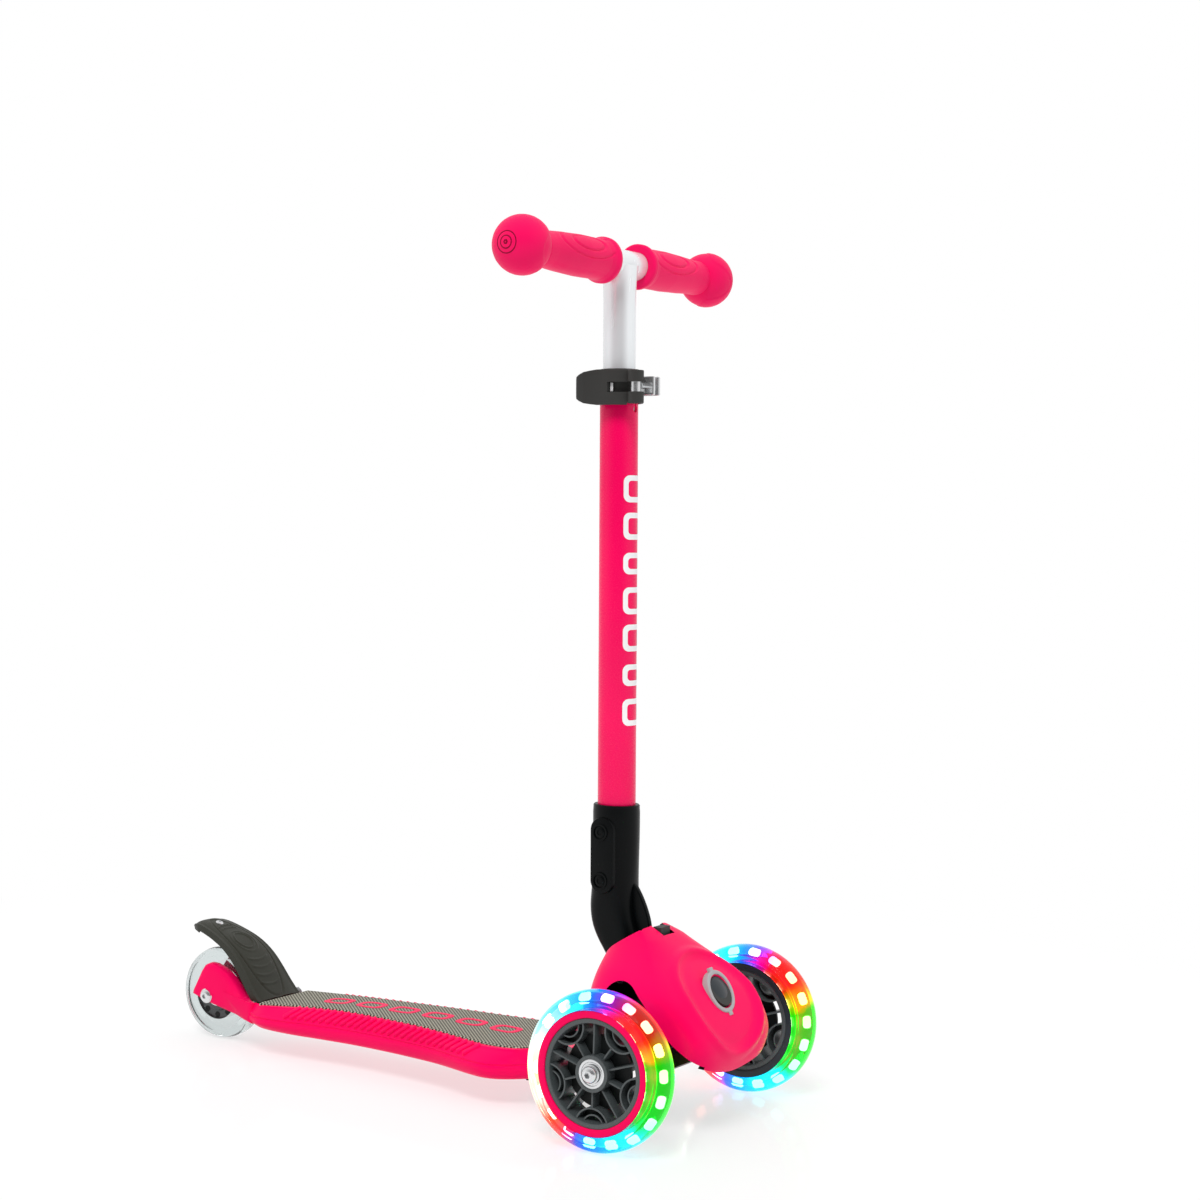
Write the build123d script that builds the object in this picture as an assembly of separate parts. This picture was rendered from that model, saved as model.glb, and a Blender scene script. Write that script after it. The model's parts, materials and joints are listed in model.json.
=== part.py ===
"""Folding three-wheeled kick scooter with lean steering, a telescopic T-bar and a rear fender brake."""
from build123d import *
import os
from math import atan2, cos, degrees, radians, sin

# Driving dimensions, in millimetres and degrees. Working frame: origin on the floor under the front
# axle, the rider faces -Y, +X is the rider's left and +Z is up. Every piece is moved to the middle
# of the scooter's footprint when it is written.
wheelbase = 457.0
front_wheel_radius = 60.5
front_wheel_width = 26.0
front_track = 230.5
rear_wheel_radius = 40.0
rear_wheel_width = 24.0
rim_radius = 46.2
hub_rim_radius = 41.4
bearing_radius = 11.0
bearing_bore_radius = 4.05
bearing_width = 7.0
axle_radius = 4.0
running_clearance = 0.05
loose_clearance = 0.4

deck_bottom = 22.0

stem_lean = degrees(atan2(0.0269, 1.0))
stem_point = (0, 61.6, 240.8)
lower_tube_radius = 15.0
upper_tube_radius = 12.7
lower_tube_bore = 12.8
cross_tube_radius = 11.1
holder_radius = 18.5
holder_top = 1.2
lower_tube_top = 340.0
lower_tube_depth = 72.0
clamp_low = 314.5
clamp_high = 339.5
bar_height = 423.0
grip_inner_end = 24.0
grip_ball_centre = 138.0
grip_ball_radius = 22.0
grip_radius = 15.5
grip_flange_radius = 18.0

fold_pivot = (40.0, 112.0)
fold_hub_radius = 15.0
fold_hub_half = 14.0
ear_half = 22.0
tooth_room_half = 7.4

kingpin_spread = 48.0
kingpin_point = (0, 10.0, 66.0)
kingpin_tilt = 55.0
kingpin_radius = 4.0
steer_arm = 22.0
lock_v = 7.14
lock_nose_radius = 2.0
lock_tab_half = 4.5

brake_pivot = (401.0, 41.0)
lever_pivot = (-16.0, -24.5)

side = {"left": 1, "right": -1}
rear_axle_y = wheelbase
footprint_front = -front_wheel_radius
footprint_back = wheelbase + rear_wheel_radius
footprint_middle = (footprint_front + footprint_back) / 2

stem_plane = Plane(
    origin=stem_point, x_dir=(1, 0, 0), z_dir=(0, sin(radians(stem_lean)), cos(radians(stem_lean)))
)
steer_plane = Plane(
    origin=kingpin_point,
    x_dir=(1, 0, 0),
    z_dir=(0, -sin(radians(kingpin_tilt)), cos(radians(kingpin_tilt))),
)
base = (Align.CENTER, Align.CENTER, Align.MIN)


def write(name, shape):
    """Writes one piece, moved to the middle of the footprint."""
    export_step(shape.moved(Location((0, -footprint_middle, 0))), f"parts/{name}.step")


def side_prism(points, low_x, high_x):
    """A closed outline in Y and Z, pulled along X."""
    face = make_face(Polyline(*points, close=True))
    return extrude(Plane.YZ.offset(low_x) * face, high_x - low_x)


def smooth_prism(curve, corners, low_x, high_x):
    """A side outline with one smooth stretch, closed by straight corners, pulled along X."""
    smooth = Spline(*curve)
    straight = Polyline(curve[-1], *corners, curve[0])
    return extrude(Plane.YZ.offset(low_x) * make_face([smooth, straight]), high_x - low_x)


def plan_prism(half_outline, low_z, high_z):
    """A plan symmetric about X = 0, given as (Y, half width) pairs, pulled along Z."""
    right = [(half, along) for along, half in half_outline]
    left = [(-half, along) for along, half in reversed(half_outline)]
    edges = [Spline(*right), Line(right[-1], left[0]), Spline(*left), Line(left[-1], right[0])]
    return extrude(Plane.XY.offset(low_z) * make_face(edges), high_z - low_z)


def rod(radius, start, end):
    """A round bar between two points."""
    run = Vector(*end) - Vector(*start)
    return Plane(origin=start, z_dir=run.normalized()) * Cylinder(radius, run.length, align=base)


def x_rod(radius, low_x, high_x, y, z):
    return rod(radius, (low_x, y, z), (high_x, y, z))


def block(low, high, plane=Plane.XY):
    """A box between two corners of a plane's own frame."""
    size = [high[i] - low[i] for i in range(3)]
    middle = [(high[i] + low[i]) / 2 for i in range(3)]
    return plane * Pos(*middle) * Box(*size)


def tilted_rod(radius, x, v, low, high, plane=steer_plane):
    """A round bar along a tilted plane's normal."""
    return plane * Pos(x, v, low) * Cylinder(radius, high - low, align=base)


def ring(outer, inner, half_width, centre):
    """A wheel ring about an axle along X."""
    x, y, z = centre
    outside = x_rod(outer, x - half_width, x + half_width, y, z)
    return outside - x_rod(inner, x - half_width - 1, x + half_width + 1, y, z)


def spring(radius, wire, low, high, turns, place):
    """A coil spring along the Z axis of a plane."""
    path = Helix(pitch=(high - low) / turns, height=high - low, radius=radius)
    section = Plane(origin=path @ 0, z_dir=path % 0) * Circle(wire)
    return place * Pos(0, 0, low) * sweep(section, path)


# Deck: moulded tray whose tail forks round the back wheel.
deck_plan = [
    (50, 46), (92, 45), (112, 47), (127, 60), (140, 64), (160, 60), (198, 49),
    (240, 42.5), (290, 38.5), (345, 41.5), (385, 41.5), (410, 29), (440, 24.5), (476, 24),
]
deck_side_top = [
    (58, 62), (72, 54), (95, 47), (130, 44.5), (220, 47), (300, 46.5), (390, 41.5), (411, 43.5),
    (421, 52), (433, 62.5), (445, 67.5), (456, 68.8),
]
deck_side_bottom = [
    (474.5, 39.6), (455, 33.2), (423.7, 26.6), (401, 22.6), (330, deck_bottom), (140, deck_bottom),
    (110, 24.5), (80, 33), (58, 46),
]
rear_arm_inner = 15.4
deck_body = smooth_prism(deck_side_top, deck_side_bottom, -70, 70)
deck_body = deck_body & plan_prism(deck_plan, 0, 100)
slot = block((-rear_arm_inner, rear_axle_y - rear_wheel_radius - 4, 0), (rear_arm_inner, 520, 100))
brake_room = block((-29, 394, 34), (29, 408, 60)) + x_rod(6.8, -29, 29, *brake_pivot)
brake_room += x_rod(5.6, 26, 33.8, *brake_pivot)
mat_plan = [
    (112, 30), (118, 42), (140, 48), (160, 46.5), (190, 42), (220, 38), (265, 32), (300, 28.5),
    (340, 29.5), (388, 33),
]
mat_body = plan_prism(mat_plan, 38, 60)
mat_sheet = smooth_prism(
    [(100, 48.5), (150, 48.5), (220, 50), (300, 49.6), (345, 47.6), (388, 44)],
    [(388, 40), (345, 43.6), (300, 45.6), (220, 46), (150, 44.6), (100, 44.6)], -60, 60,
)
mat = mat_body & mat_sheet
inlay_count = 6
inlay_pitch = 31.0
inlay_length = 21.0
inlay_half = 11.0
inlays = []
for index in range(inlay_count):
    y = 168 + index * inlay_pitch
    inlay = Pos(0, y, 46.5) * extrude(SlotOverall(inlay_half * 2, inlay_length * 0.55), 10)
    inlays.append(inlay & mat_sheet)
mat_holes = Compound(children=inlays)
rear_bore = x_rod(axle_radius + running_clearance, -40, 40, rear_axle_y, rear_wheel_radius)
brake_pin_hole = x_rod(2.55, -34, 34, *brake_pivot)

# Front chassis: tilted kingpin plates, webs, and the ears that hold the folding hub.
upper_plate = block((-60, -14, 14), (60, 14, 20), steer_plane)
lower_plate = block((-60, -12, -18), (60, 12, -10.2), steer_plane)
web_plate = block((21.9, -12, -18), (33, 30, 20), steer_plane)
webs = web_plate + mirror(web_plate, Plane.YZ)
pivot_y, pivot_z = fold_pivot
ear_plate = block((15.4, 16, -17), (ear_half, 54, 12), steer_plane)
ear_plate += x_rod(12, 15.4, ear_half, pivot_y, pivot_z)
ears = ear_plate + mirror(ear_plate, Plane.YZ)
floor_plate = block((-33, 24, 60), (33, 50, 66))
tail_plate = block((-30, 44, 48), (30, 64, 66))
chassis = upper_plate + lower_plate + webs + ears + floor_plate + tail_plate
for sign in side.values():
    chassis -= tilted_rod(kingpin_radius, sign * kingpin_spread, 0, -40, 40)
chassis -= tilted_rod(kingpin_radius + loose_clearance, 0, lock_v, 0, 40)
hinge_bolt_radius = 4.0
chassis -= x_rod(hinge_bolt_radius, -40, 40, pivot_y, pivot_z)
deck_body = deck_body - slot - brake_room - mat_body.moved(Location((0, 0, 6.4))) - mat_sheet
deck_body = deck_body - rear_bore - brake_pin_hole - block((-33.4, 0, 47.4), (33.4, 64.4, 90))
deck_body = deck_body - mat

# Kingpins and the hinge bolt stand in the chassis.
kingpins = {}
for name, sign in side.items():
    pin = tilted_rod(kingpin_radius, sign * kingpin_spread, 0, -18, 22)
    head = tilted_rod(7, sign * kingpin_spread, 0, 20, 24)
    kingpins[name] = pin + head
hinge_bolt = x_rod(hinge_bolt_radius, -ear_half, ear_half + 2.0, pivot_y, pivot_z)
hinge_bolt += x_rod(6.5, ear_half, ear_half + 2.6, pivot_y, pivot_z)
hinge_nut = ring(6.5, hinge_bolt_radius, 1.3, (-ear_half - 1.3, pivot_y, pivot_z))
hinge_bolt += x_rod(hinge_bolt_radius, -ear_half - 2.6, -ear_half, pivot_y, pivot_z)

# Knuckles: a bushed hub on the kingpin, an arm out to the wheel and a short arm to the tie rod.
axle_v = -10.24
axle_w = 5.04
knuckles = {}
wheel_x = front_track / 2
stub_end = wheel_x - front_wheel_width / 2 - 0.4 + 0.5
for name, sign in side.items():
    x = sign * kingpin_spread
    hub = tilted_rod(10, x, 0, -9.8, 13.6)
    inner, outer = sorted((sign * 54, sign * 86))
    arm = x_rod(8.5, inner, outer, 0, front_wheel_radius)
    bridge_ends = sorted((x, sign * 66))
    bridge = block((bridge_ends[0], -16, -3), (bridge_ends[1], 5, 12), steer_plane)
    tip_ends = sorted((sign * 84, sign * stub_end))
    tip = x_rod(6, *tip_ends, 0, front_wheel_radius)
    tie_arm = block((x - 6, -steer_arm, 3.4), (x + 6, 0, 10), steer_plane)
    tie_arm += tilted_rod(6, x, -steer_arm, 3.4, 10)
    tie_pin = tilted_rod(3, x, -steer_arm, -4.5, 4)
    knuckle = hub + arm + bridge + tip + tie_arm + tie_pin
    knuckle -= tilted_rod(kingpin_radius + running_clearance, x, 0, -30, 30)
    thread_ends = sorted((sign * 68, sign * 120))
    knuckle -= x_rod(axle_radius, *thread_ends, 0, front_wheel_radius)
    knuckles[name] = knuckle

head_start = wheel_x + front_wheel_width / 2 + 0.1
axle_bolt = x_rod(axle_radius, 68, head_start + 1, 0, front_wheel_radius)
axle_bolt += x_rod(6.6, head_start, head_start + 2.6, 0, front_wheel_radius)
axle_bolt += x_rod(4.8, head_start + 2.6, head_start + 4.4, 0, front_wheel_radius)
axle_bolts = {"left": axle_bolt, "right": mirror(axle_bolt, Plane.YZ)}

tie_rod = block((-kingpin_spread, -27, -3), (kingpin_spread, -17, 2.9), steer_plane)
for sign in side.values():
    tie_rod += tilted_rod(6, sign * kingpin_spread, -steer_arm, -3, 2.9)
tie_rod += block((-lock_tab_half, -20, -3), (lock_tab_half, 13, 2.9), steer_plane)
tie_rod -= tilted_rod(3 + running_clearance, kingpin_spread, -steer_arm, -10, 10)
tie_rod -= tilted_rod(3 + loose_clearance, -kingpin_spread, -steer_arm, -10, 10)
tie_rod -= tilted_rod(lock_nose_radius + loose_clearance, 0, lock_v, -10, 10)
buffer = block((19.5, -8, -3), (21.9, 8, 3), steer_plane)
steer_buffers = [buffer, mirror(buffer, Plane.YZ)]

# Front shield: a thin domed cover with an arch for each axle arm and a slot for the stem.
shield_wall = 3.0
shield_front = [
    (22, 150), (0, 138), (-20, 122), (-35.5, 105.8), (-46, 90), (-53, 73), (-53.5, 60), (-49, 46.5),
]
shield_back = [(-20, 40), (24, 52), (60, 58), (66, 66), (64, 84), (58, 112), (52, 128), (40, 140)]
shield_widths = [
    (30, 24), (40, 36), (48, 48), (57, 57), (70, 61.5), (88, 62.5), (104, 61), (120, 52), (136, 36),
    (150, 24), (160, 19),
]

arch_outline = [(-24, 0), (-24, 78), (-5, 98), (6, 110), (17, 116), (27, 110), (40, 52), (40, 0)]
rim_outline = [(-56, 0), (-56, 49), (-45, 55), (-36, 66), (-24, 78), (-10, 70), (-10, 0)]


def shield_volume(inset):
    """The outside of the shield, or its inside when inset by the wall."""
    front = [(y + inset, z - inset * 0.7) for y, z in shield_front]
    back = [(y - inset * 0.2, z) for y, z in shield_back]
    profile = smooth_prism(front, back, -70, 70)
    points = [(half - inset, z) for z, half in shield_widths]
    mirrored = [(-half, z) for half, z in reversed(points)]
    edges = [
        Spline(*points), Line(points[-1], mirrored[0]), Spline(*mirrored), Line(mirrored[-1], points[0])
    ]
    outline = extrude(Plane.XZ.offset(-100) * make_face(edges), 200)
    return profile & outline


shield = shield_volume(0)
shield_inside = shield_volume(shield_wall)
shield -= shield_inside
shield -= block((-20.6, 21, 60), (20.6, 90, 170))
shield -= block((-14, 10, 134), (14, 30, 170))
arch = side_prism(arch_outline, 28, 80)
shield = shield - arch - mirror(arch, Plane.YZ)
shield -= side_prism(rim_outline, -80, 80)
shield -= shield_inside.moved(Location((0, 6, -14)))
shield -= shield_inside.moved(Location((0, 14, 0)))
shield = shield - chassis - deck_body
button_point = (0, -34.4, 105.8)
button_plane = Plane(origin=button_point, x_dir=(1, 0, 0), z_dir=steer_plane.z_dir)
bezel_radius = 19.5
button_radius = 13.0
button_hole = 13.5
shield -= button_plane * Pos(0, 0, -12) * Cylinder(button_hole, 30, align=base)
bezel = button_plane * Pos(0, 0, -6) * Cylinder(bezel_radius, 8.5, align=base)
bezel -= button_plane * Pos(0, 0, -12) * Cylinder(button_hole, 30, align=base)
shield -= bezel
lock_button = button_plane * Pos(0, 0, -9) * Cylinder(button_radius, 11, align=base)
crown = button_plane * Pos(0, 0, -24) * Sphere(29)
lock_button = lock_button & (crown + button_plane * Pos(0, 0, -9) * Cylinder(20, 9, align=base))
button_w = (Vector(*button_point) - Vector(*kingpin_point)).dot(steer_plane.z_dir)
lock_button += tilted_rod(kingpin_radius, 0, lock_v, 7.4, button_w - 8)
lock_button += tilted_rod(lock_nose_radius, 0, lock_v, 3.6, 7.4)

# Fold latch: a strap in front of the hub whose foot holds a tooth in the hub's notch.
fold_latch = block((-7, 14, 143), (7, 21, 150)) + block((-5, 14, 86), (5, 18, 148))
fold_latch += block((-8, 14, 86), (8, 47, 92)) + block((-7, 37, 90), (7, 43, 99.5))
latch_spring = spring(5, 0.8, 67.2, 84.8, 6, Pos(0, 34, 0))

# Stem: elbowed holder, round tube, clamp and screws.
holder = stem_plane * Pos(0, 0, -92) * Cylinder(holder_radius, 92 + holder_top, align=base)
elbow = [
    (44, 184), (37.7, 178.6), (31.2, 169.4), (26.7, 160.9), (23.6, 151.8), (25, 128), (25, 112),
    (40, 97), (52, 103), (64.2, 123.8), (73.2, 136.2), (78.5, 146.7), (80, 160), (81, 184),
]
holder += side_prism(elbow, -fold_hub_half, fold_hub_half)
holder += x_rod(fold_hub_radius, -fold_hub_half, fold_hub_half, pivot_y, pivot_z)
pad_outline = SlotCenterToCenter(39, 21)
pad = extrude(Plane(origin=(-20.4, 63.2, 203), x_dir=(0, 0.0269, 1), z_dir=(1, 0, 0)) * pad_outline, 8)
holder += pad
holder -= stem_plane * Pos(0, 0, -lower_tube_depth) * Cylinder(lower_tube_radius, 100, align=base)
holder -= x_rod(hinge_bolt_radius + running_clearance, -20, 20, pivot_y, pivot_z)
holder -= block((-tooth_room_half, 36.6, 90), (tooth_room_half, 43.4, 100.5))
# The latch tooth rides in this groove while the stem folds back.
groove = x_rod(23, -tooth_room_half, tooth_room_half, pivot_y, pivot_z)
groove -= x_rod(12, -20, 20, pivot_y, pivot_z)
groove_fan = [(pivot_y, pivot_z)]
for turn in (-16, 40, 96):
    groove_fan.append((pivot_y + 44 * sin(radians(turn)), pivot_z - 44 * cos(radians(turn))))
holder -= groove & side_prism(groove_fan, -20, 20)
holder_screws = {}
for name, y, z in (("upper", 64.0, 221.0), ("lower", 63.0, 183.0)):
    shank = x_rod(2.5, -18.6, 17, y, z)
    head = x_rod(4.6, -21.2, -18.6, y, z) - x_rod(2.2, -22, -19.6, y, z)
    holder_screws[name] = shank + head
    holder = holder - shank - x_rod(4.6, -25, -18.6, y, z)
lower_tube = stem_plane * Pos(0, 0, -lower_tube_depth) * Cylinder(
    lower_tube_radius, lower_tube_depth + lower_tube_top, align=base
)
lower_tube -= stem_plane * Pos(0, 0, -80) * Cylinder(lower_tube_bore, 500, align=base)
for name, y, z in (("upper", 64.0, 221.0), ("lower", 63.0, 183.0)):
    lower_tube -= x_rod(2.5, -20, 20, y, z)
slit_low = clamp_low - 4.0
slit = block((-1.5, -20, slit_low), (1.5, 0, lower_tube_top + 1), stem_plane)
slit_eye = stem_plane * Pos(0, 0, slit_low) * Rot(90, 0, 0) * Cylinder(3.0, 20, align=base)
lower_tube = lower_tube - slit - slit_eye

ear_out = -34.0
collar = stem_plane * Pos(0, 0, clamp_low) * Cylinder(19.2, clamp_high - clamp_low, align=base)
collar -= stem_plane * Pos(0, 0, clamp_low - 1) * Cylinder(lower_tube_radius, 40, align=base)
clamp_ear_low = clamp_low + 5.5
clamp_ear_high = clamp_high - 5.0
collar -= block((-2, -30, clamp_low - 1), (2, 0, clamp_high + 1), stem_plane)
strap_ears = [
    block((2.0, ear_out, clamp_ear_low), (5.5, -17.5, clamp_ear_high), stem_plane),
    block((-5.5, ear_out, clamp_ear_low), (-2.0, -17.5, clamp_ear_high), stem_plane),
]
lever_x, lever_y = lever_pivot
bolt_w = (clamp_ear_low + clamp_ear_high) / 2
clamp_bolt_tube = stem_plane * Pos(lever_x + 3.5, lever_y - 2.0, bolt_w) * Rot(0, 90, 0) * Cylinder(
    2.4, 11.0 - lever_x, align=base
)
clamp_nut = stem_plane * Pos(5.6, lever_y - 2.0, bolt_w) * Rot(0, 90, 0) * Cylinder(4.6, 4.4, align=base)
strap_ears = [ear - clamp_bolt_tube - collar for ear in strap_ears]
clamp_nut -= clamp_bolt_tube
barrel = tilted_rod(4.0, lever_x, lever_y, clamp_low + 1, clamp_high - 1, stem_plane)
barrel -= clamp_bolt_tube

# Clamp lever: a curved handle on the barrel, open in the middle round the bolt.
lever_low = clamp_low - 2.5
lever_high = clamp_high + 0.5
lever = stem_plane * Pos(0, 0, lever_low) * Cylinder(25.0, lever_high - lever_low, align=base)
lever -= stem_plane * Pos(0, 0, lever_low - 1) * Cylinder(20.0, 60, align=base)
lever = lever & block((-26, -19.5, 0), (-8.5, 1, 500), stem_plane)
lever += block((-25, 0, lever_low), (-20, 26, lever_high), stem_plane)
boss = tilted_rod(6.2, lever_x, lever_y, lever_low, lever_high, stem_plane)
lever += boss + block(
    (lever_x - 6.2, lever_y, lever_low), (lever_x - 0.5, lever_y + 14, lever_high), stem_plane
)
lever -= stem_plane * Pos(0, 0, lever_low - 1) * Cylinder(20.0, 60, align=base)
lever -= tilted_rod(4.0 + running_clearance, lever_x, lever_y, 200, 400, stem_plane)
lever -= block(
    (lever_x - 12, lever_y - 10, bolt_w - 3.4), (lever_x + 12, lever_y + 16, bolt_w + 3.4), stem_plane
)

# Handlebar: telescopic tube, cross tube and two soft grips with round ends.
bar_centre = stem_plane * Pos(0, 0, bar_height)
upper_tube = stem_plane * Pos(0, 0, -4) * Cylinder(upper_tube_radius, 4 + bar_height, align=base)
upper_tube -= stem_plane * Pos(0, 0, -6) * Cylinder(upper_tube_radius - 1.5, bar_height - 20, align=base)
cross_tube = bar_centre * Rot(0, 90, 0) * Cylinder(cross_tube_radius, 2 * 128)
upper_tube -= cross_tube
cross_tube -= bar_centre * Rot(0, 90, 0) * Cylinder(cross_tube_radius - 1.5, 2 * 130)


def grip_profile():
    """Half section of a grip: distance along the bar, then radius."""
    neck = grip_ball_centre - grip_ball_radius * cos(radians(43))
    end = grip_ball_centre + grip_ball_radius - 1.6
    arc_end = (end, (grip_ball_radius**2 - (end - grip_ball_centre) ** 2) ** 0.5)
    neck_radius = grip_ball_radius * sin(radians(43))
    top = (grip_ball_centre, grip_ball_radius)
    start = (neck, neck_radius)
    run = [
        Polyline(
            (grip_inner_end, 0), (grip_inner_end, grip_flange_radius),
            (grip_inner_end + 5, grip_flange_radius), (grip_inner_end + 12, grip_radius), start,
        ),
        ThreePointArc(start, top, arc_end),
        Polyline(arc_end, (end, 0), (grip_inner_end, 0)),
    ]
    return make_face(run)


grips = {}
caps = {}
for name, sign in side.items():
    solid = revolve(grip_profile(), axis=Axis.X)
    solid -= Rot(0, 90, 0) * Cylinder(cross_tube_radius, 2 * 128.0)
    cap_x = grip_ball_centre + grip_ball_radius - 1.6
    cap = Pos(cap_x - 2.4, 0, 0) * Rot(0, 90, 0) * Cylinder(6.0, 4.0, align=base)
    solid -= cap
    if sign < 0:
        solid = mirror(solid, Plane.YZ)
        cap = mirror(cap, Plane.YZ)
    grips[name] = bar_centre * solid
    caps[name] = bar_centre * cap

# Front wheels: clear tyre with a light band, trim ring, ten-spoke hub, two bearings.
front_wheels = {}
for name, sign in side.items():
    centre = (sign * wheel_x, 0, front_wheel_radius)
    half = front_wheel_width / 2
    tyre = ring(front_wheel_radius, rim_radius, half, centre)
    tyre = fillet(
        [e for e in tyre.edges().filter_by(GeomType.CIRCLE) if e.radius > 50], 8.0
    )
    lights = ring(54.0, rim_radius, 4.8, centre)
    tyre -= lights
    trim = ring(rim_radius, hub_rim_radius, half - 1.5, centre)
    hub = ring(hub_rim_radius, 37.0, half - 2, centre) + ring(13.3, 6.4, half - 0.4, centre)
    for index in range(5):
        turn = Pos(*centre) * Rot(90 + 72 * index, 0, 0)
        hub += turn * Pos(0, 25, 0) * Box(2 * (half - 4), 26, 3.6)
        hub += turn * Rot(36, 0, 0) * Pos(0, 18, 0) * Box(2 * (half - 4), 13, 3.2)
        arc = Rot(0, 90, 0) * Cylinder(16.6, 2 * (half - 4)) - Rot(0, 90, 0) * Cylinder(14.2, 40)
        arc = turn * Rot(36, 0, 0) * Pos(0, 39, 0) * arc
        hub += arc & ring(39.0, 5, half, centre)
    bearings = []
    for offset in (-1, 1):
        middle = sign * wheel_x + offset * (half - 0.5 - bearing_width / 2)
        bearing_centre = (middle, 0, front_wheel_radius)
        bearings.append(ring(bearing_radius, bearing_bore_radius, bearing_width / 2, bearing_centre))
        hub -= ring(bearing_radius, 3, bearing_width / 2, bearing_centre)
        hub -= ring(bearing_radius, 3, bearing_width / 2, (middle + offset, 0, front_wheel_radius))
    front_wheels[name] = (tyre, lights, trim, hub, bearings)

# Rear wheel, its bolt and spacers.
rear_centre = (0, rear_axle_y, rear_wheel_radius)
rear_half = rear_wheel_width / 2
rear_core_radius = 24.5
rear_tyre = ring(rear_wheel_radius, rear_core_radius, rear_half, rear_centre)
rear_tyre = fillet([e for e in rear_tyre.edges().filter_by(GeomType.CIRCLE) if e.radius > 30], 8.0)
rear_hub = ring(rear_core_radius, 6.4, rear_half - 1, rear_centre)
for index in range(10):
    turn = Pos(*rear_centre) * Rot(36 * index, 0, 0)
    rear_hub -= turn * Pos(0, 19.5, 0) * Rot(0, 90, 0) * Cylinder(2.6, 40)
rear_bearings = []
for offset in (-1, 1):
    middle = offset * (rear_half - bearing_width / 2)
    rear_bearings.append(
        ring(bearing_radius, bearing_bore_radius, bearing_width / 2, (middle, rear_axle_y, rear_wheel_radius))
    )
    rear_hub -= ring(bearing_radius, 3, bearing_width / 2, (middle, rear_axle_y, rear_wheel_radius))
spacers = [
    ring(6, axle_radius, 1.5, (offset * (rear_half + 1.9), rear_axle_y, rear_wheel_radius))
    for offset in (-1, 1)
]
rear_bolt = x_rod(axle_radius, -24.6, 26, rear_axle_y, rear_wheel_radius)
rear_bolt += x_rod(6.5, 24.6, 27.6, rear_axle_y, rear_wheel_radius)
rear_nut = x_rod(6.5, -27.6, -24.6, rear_axle_y, rear_wheel_radius)

# Rear fender brake on a cross pin, with a steel wear plate under the foot pad.
brake_top = [
    (397, 45.5), (404, 54), (413, 66), (429, 82.5), (447, 93.5), (464.7, 100), (476, 100.6), (486.8, 93.3),
]
brake_under = [(484, 90.2), (474, 95), (464, 94.5), (449, 88), (433, 78.2), (417, 62), (408, 47)]
fender = smooth_prism(brake_top, brake_under, -27, 27)
fender_plan = [(394, 27), (404, 27), (422, 25), (447, 21), (468, 17.5), (480, 14.5), (487, 9)]
fender = fender & plan_prism(fender_plan, 30, 120)
fender += x_rod(5.5, -26.5, 26.5, *brake_pivot)
fender -= x_rod(2.55, -40, 40, *brake_pivot)
wear_outline = [(436, 79.9), (449, 87.6), (460, 92.4), (460, 90.9), (449.6, 86.2), (436.8, 78.6)]
wear_plate = side_prism(wear_outline, -11, 11)
wear_plate -= fender
fender_screw = rod(1.8, (0, 464.7, 93.5), (0, 464.7, 100.4))
fender_screw += rod(3.4, (0, 464.7, 99.2), (0, 464.7, 101.4))
fender -= fender_screw
brake_pin = x_rod(2.5, -34, 34, *brake_pivot)
brake_spring = spring(4.2, 0.7, 27.8, 33.0, 3, Plane(origin=(0, *brake_pivot), z_dir=(1, 0, 0)))

# Underside cover and the screws that hold the pieces of the front together.
cover = side_prism([(46, 33), (72, 25), (120, 20.5), (120, 18.5), (70, 22.5), (44, 31)], -30, 30)
cover -= deck_body

pieces = {
    "deck": deck_body, "grip_mat": mat - mat_holes, "deck_inlays": mat_holes,
    "front_chassis": chassis, "underside_cover": cover, "front_shield": shield,
    "button_bezel": bezel, "steer_buffers": Compound(children=steer_buffers),
    "left_kingpin": kingpins["left"], "right_kingpin": kingpins["right"],
    "hinge_bolt": hinge_bolt, "hinge_nut": hinge_nut, "latch_spring": latch_spring,
    "rear_axle_bolt": rear_bolt, "rear_axle_nut": rear_nut,
    "rear_spacers": Compound(children=spacers), "brake_pin": brake_pin, "brake_spring": brake_spring,
    "tie_rod": tie_rod, "lock_button": lock_button, "fold_latch": fold_latch,
    "stem_holder": holder, "lower_tube": lower_tube, "upper_holder_screw": holder_screws["upper"],
    "lower_holder_screw": holder_screws["lower"], "clamp_collar": collar,
    "clamp_ears": Compound(children=strap_ears), "clamp_bolt": clamp_bolt_tube, "clamp_nut": clamp_nut,
    "clamp_barrel": barrel, "clamp_lever": lever, "upper_tube": upper_tube, "cross_tube": cross_tube,
    "rear_tyre": rear_tyre, "rear_hub": rear_hub, "rear_bearings": Compound(children=rear_bearings),
    "brake_fender": fender, "brake_wear_plate": wear_plate, "brake_screw": fender_screw,
}
for name in side:
    tyre, lights, trim, hub, bearings = front_wheels[name]
    pieces[f"{name}_knuckle"] = knuckles[name]
    pieces[f"{name}_axle_bolt"] = axle_bolts[name]
    pieces[f"{name}_tyre"] = tyre
    pieces[f"{name}_light_band"] = lights
    pieces[f"{name}_trim_ring"] = trim
    pieces[f"{name}_hub"] = hub
    pieces[f"{name}_bearings"] = Compound(children=bearings)
    pieces[f"{name}_grip"] = grips[name]
    pieces[f"{name}_grip_cap"] = caps[name]

os.makedirs("parts", exist_ok=True)
for name, piece in pieces.items():
    write(name, piece)
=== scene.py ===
import bmesh
import bpy
import json
from math import cos, hypot, pi, radians, sin
from mathutils import Matrix, Vector


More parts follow.
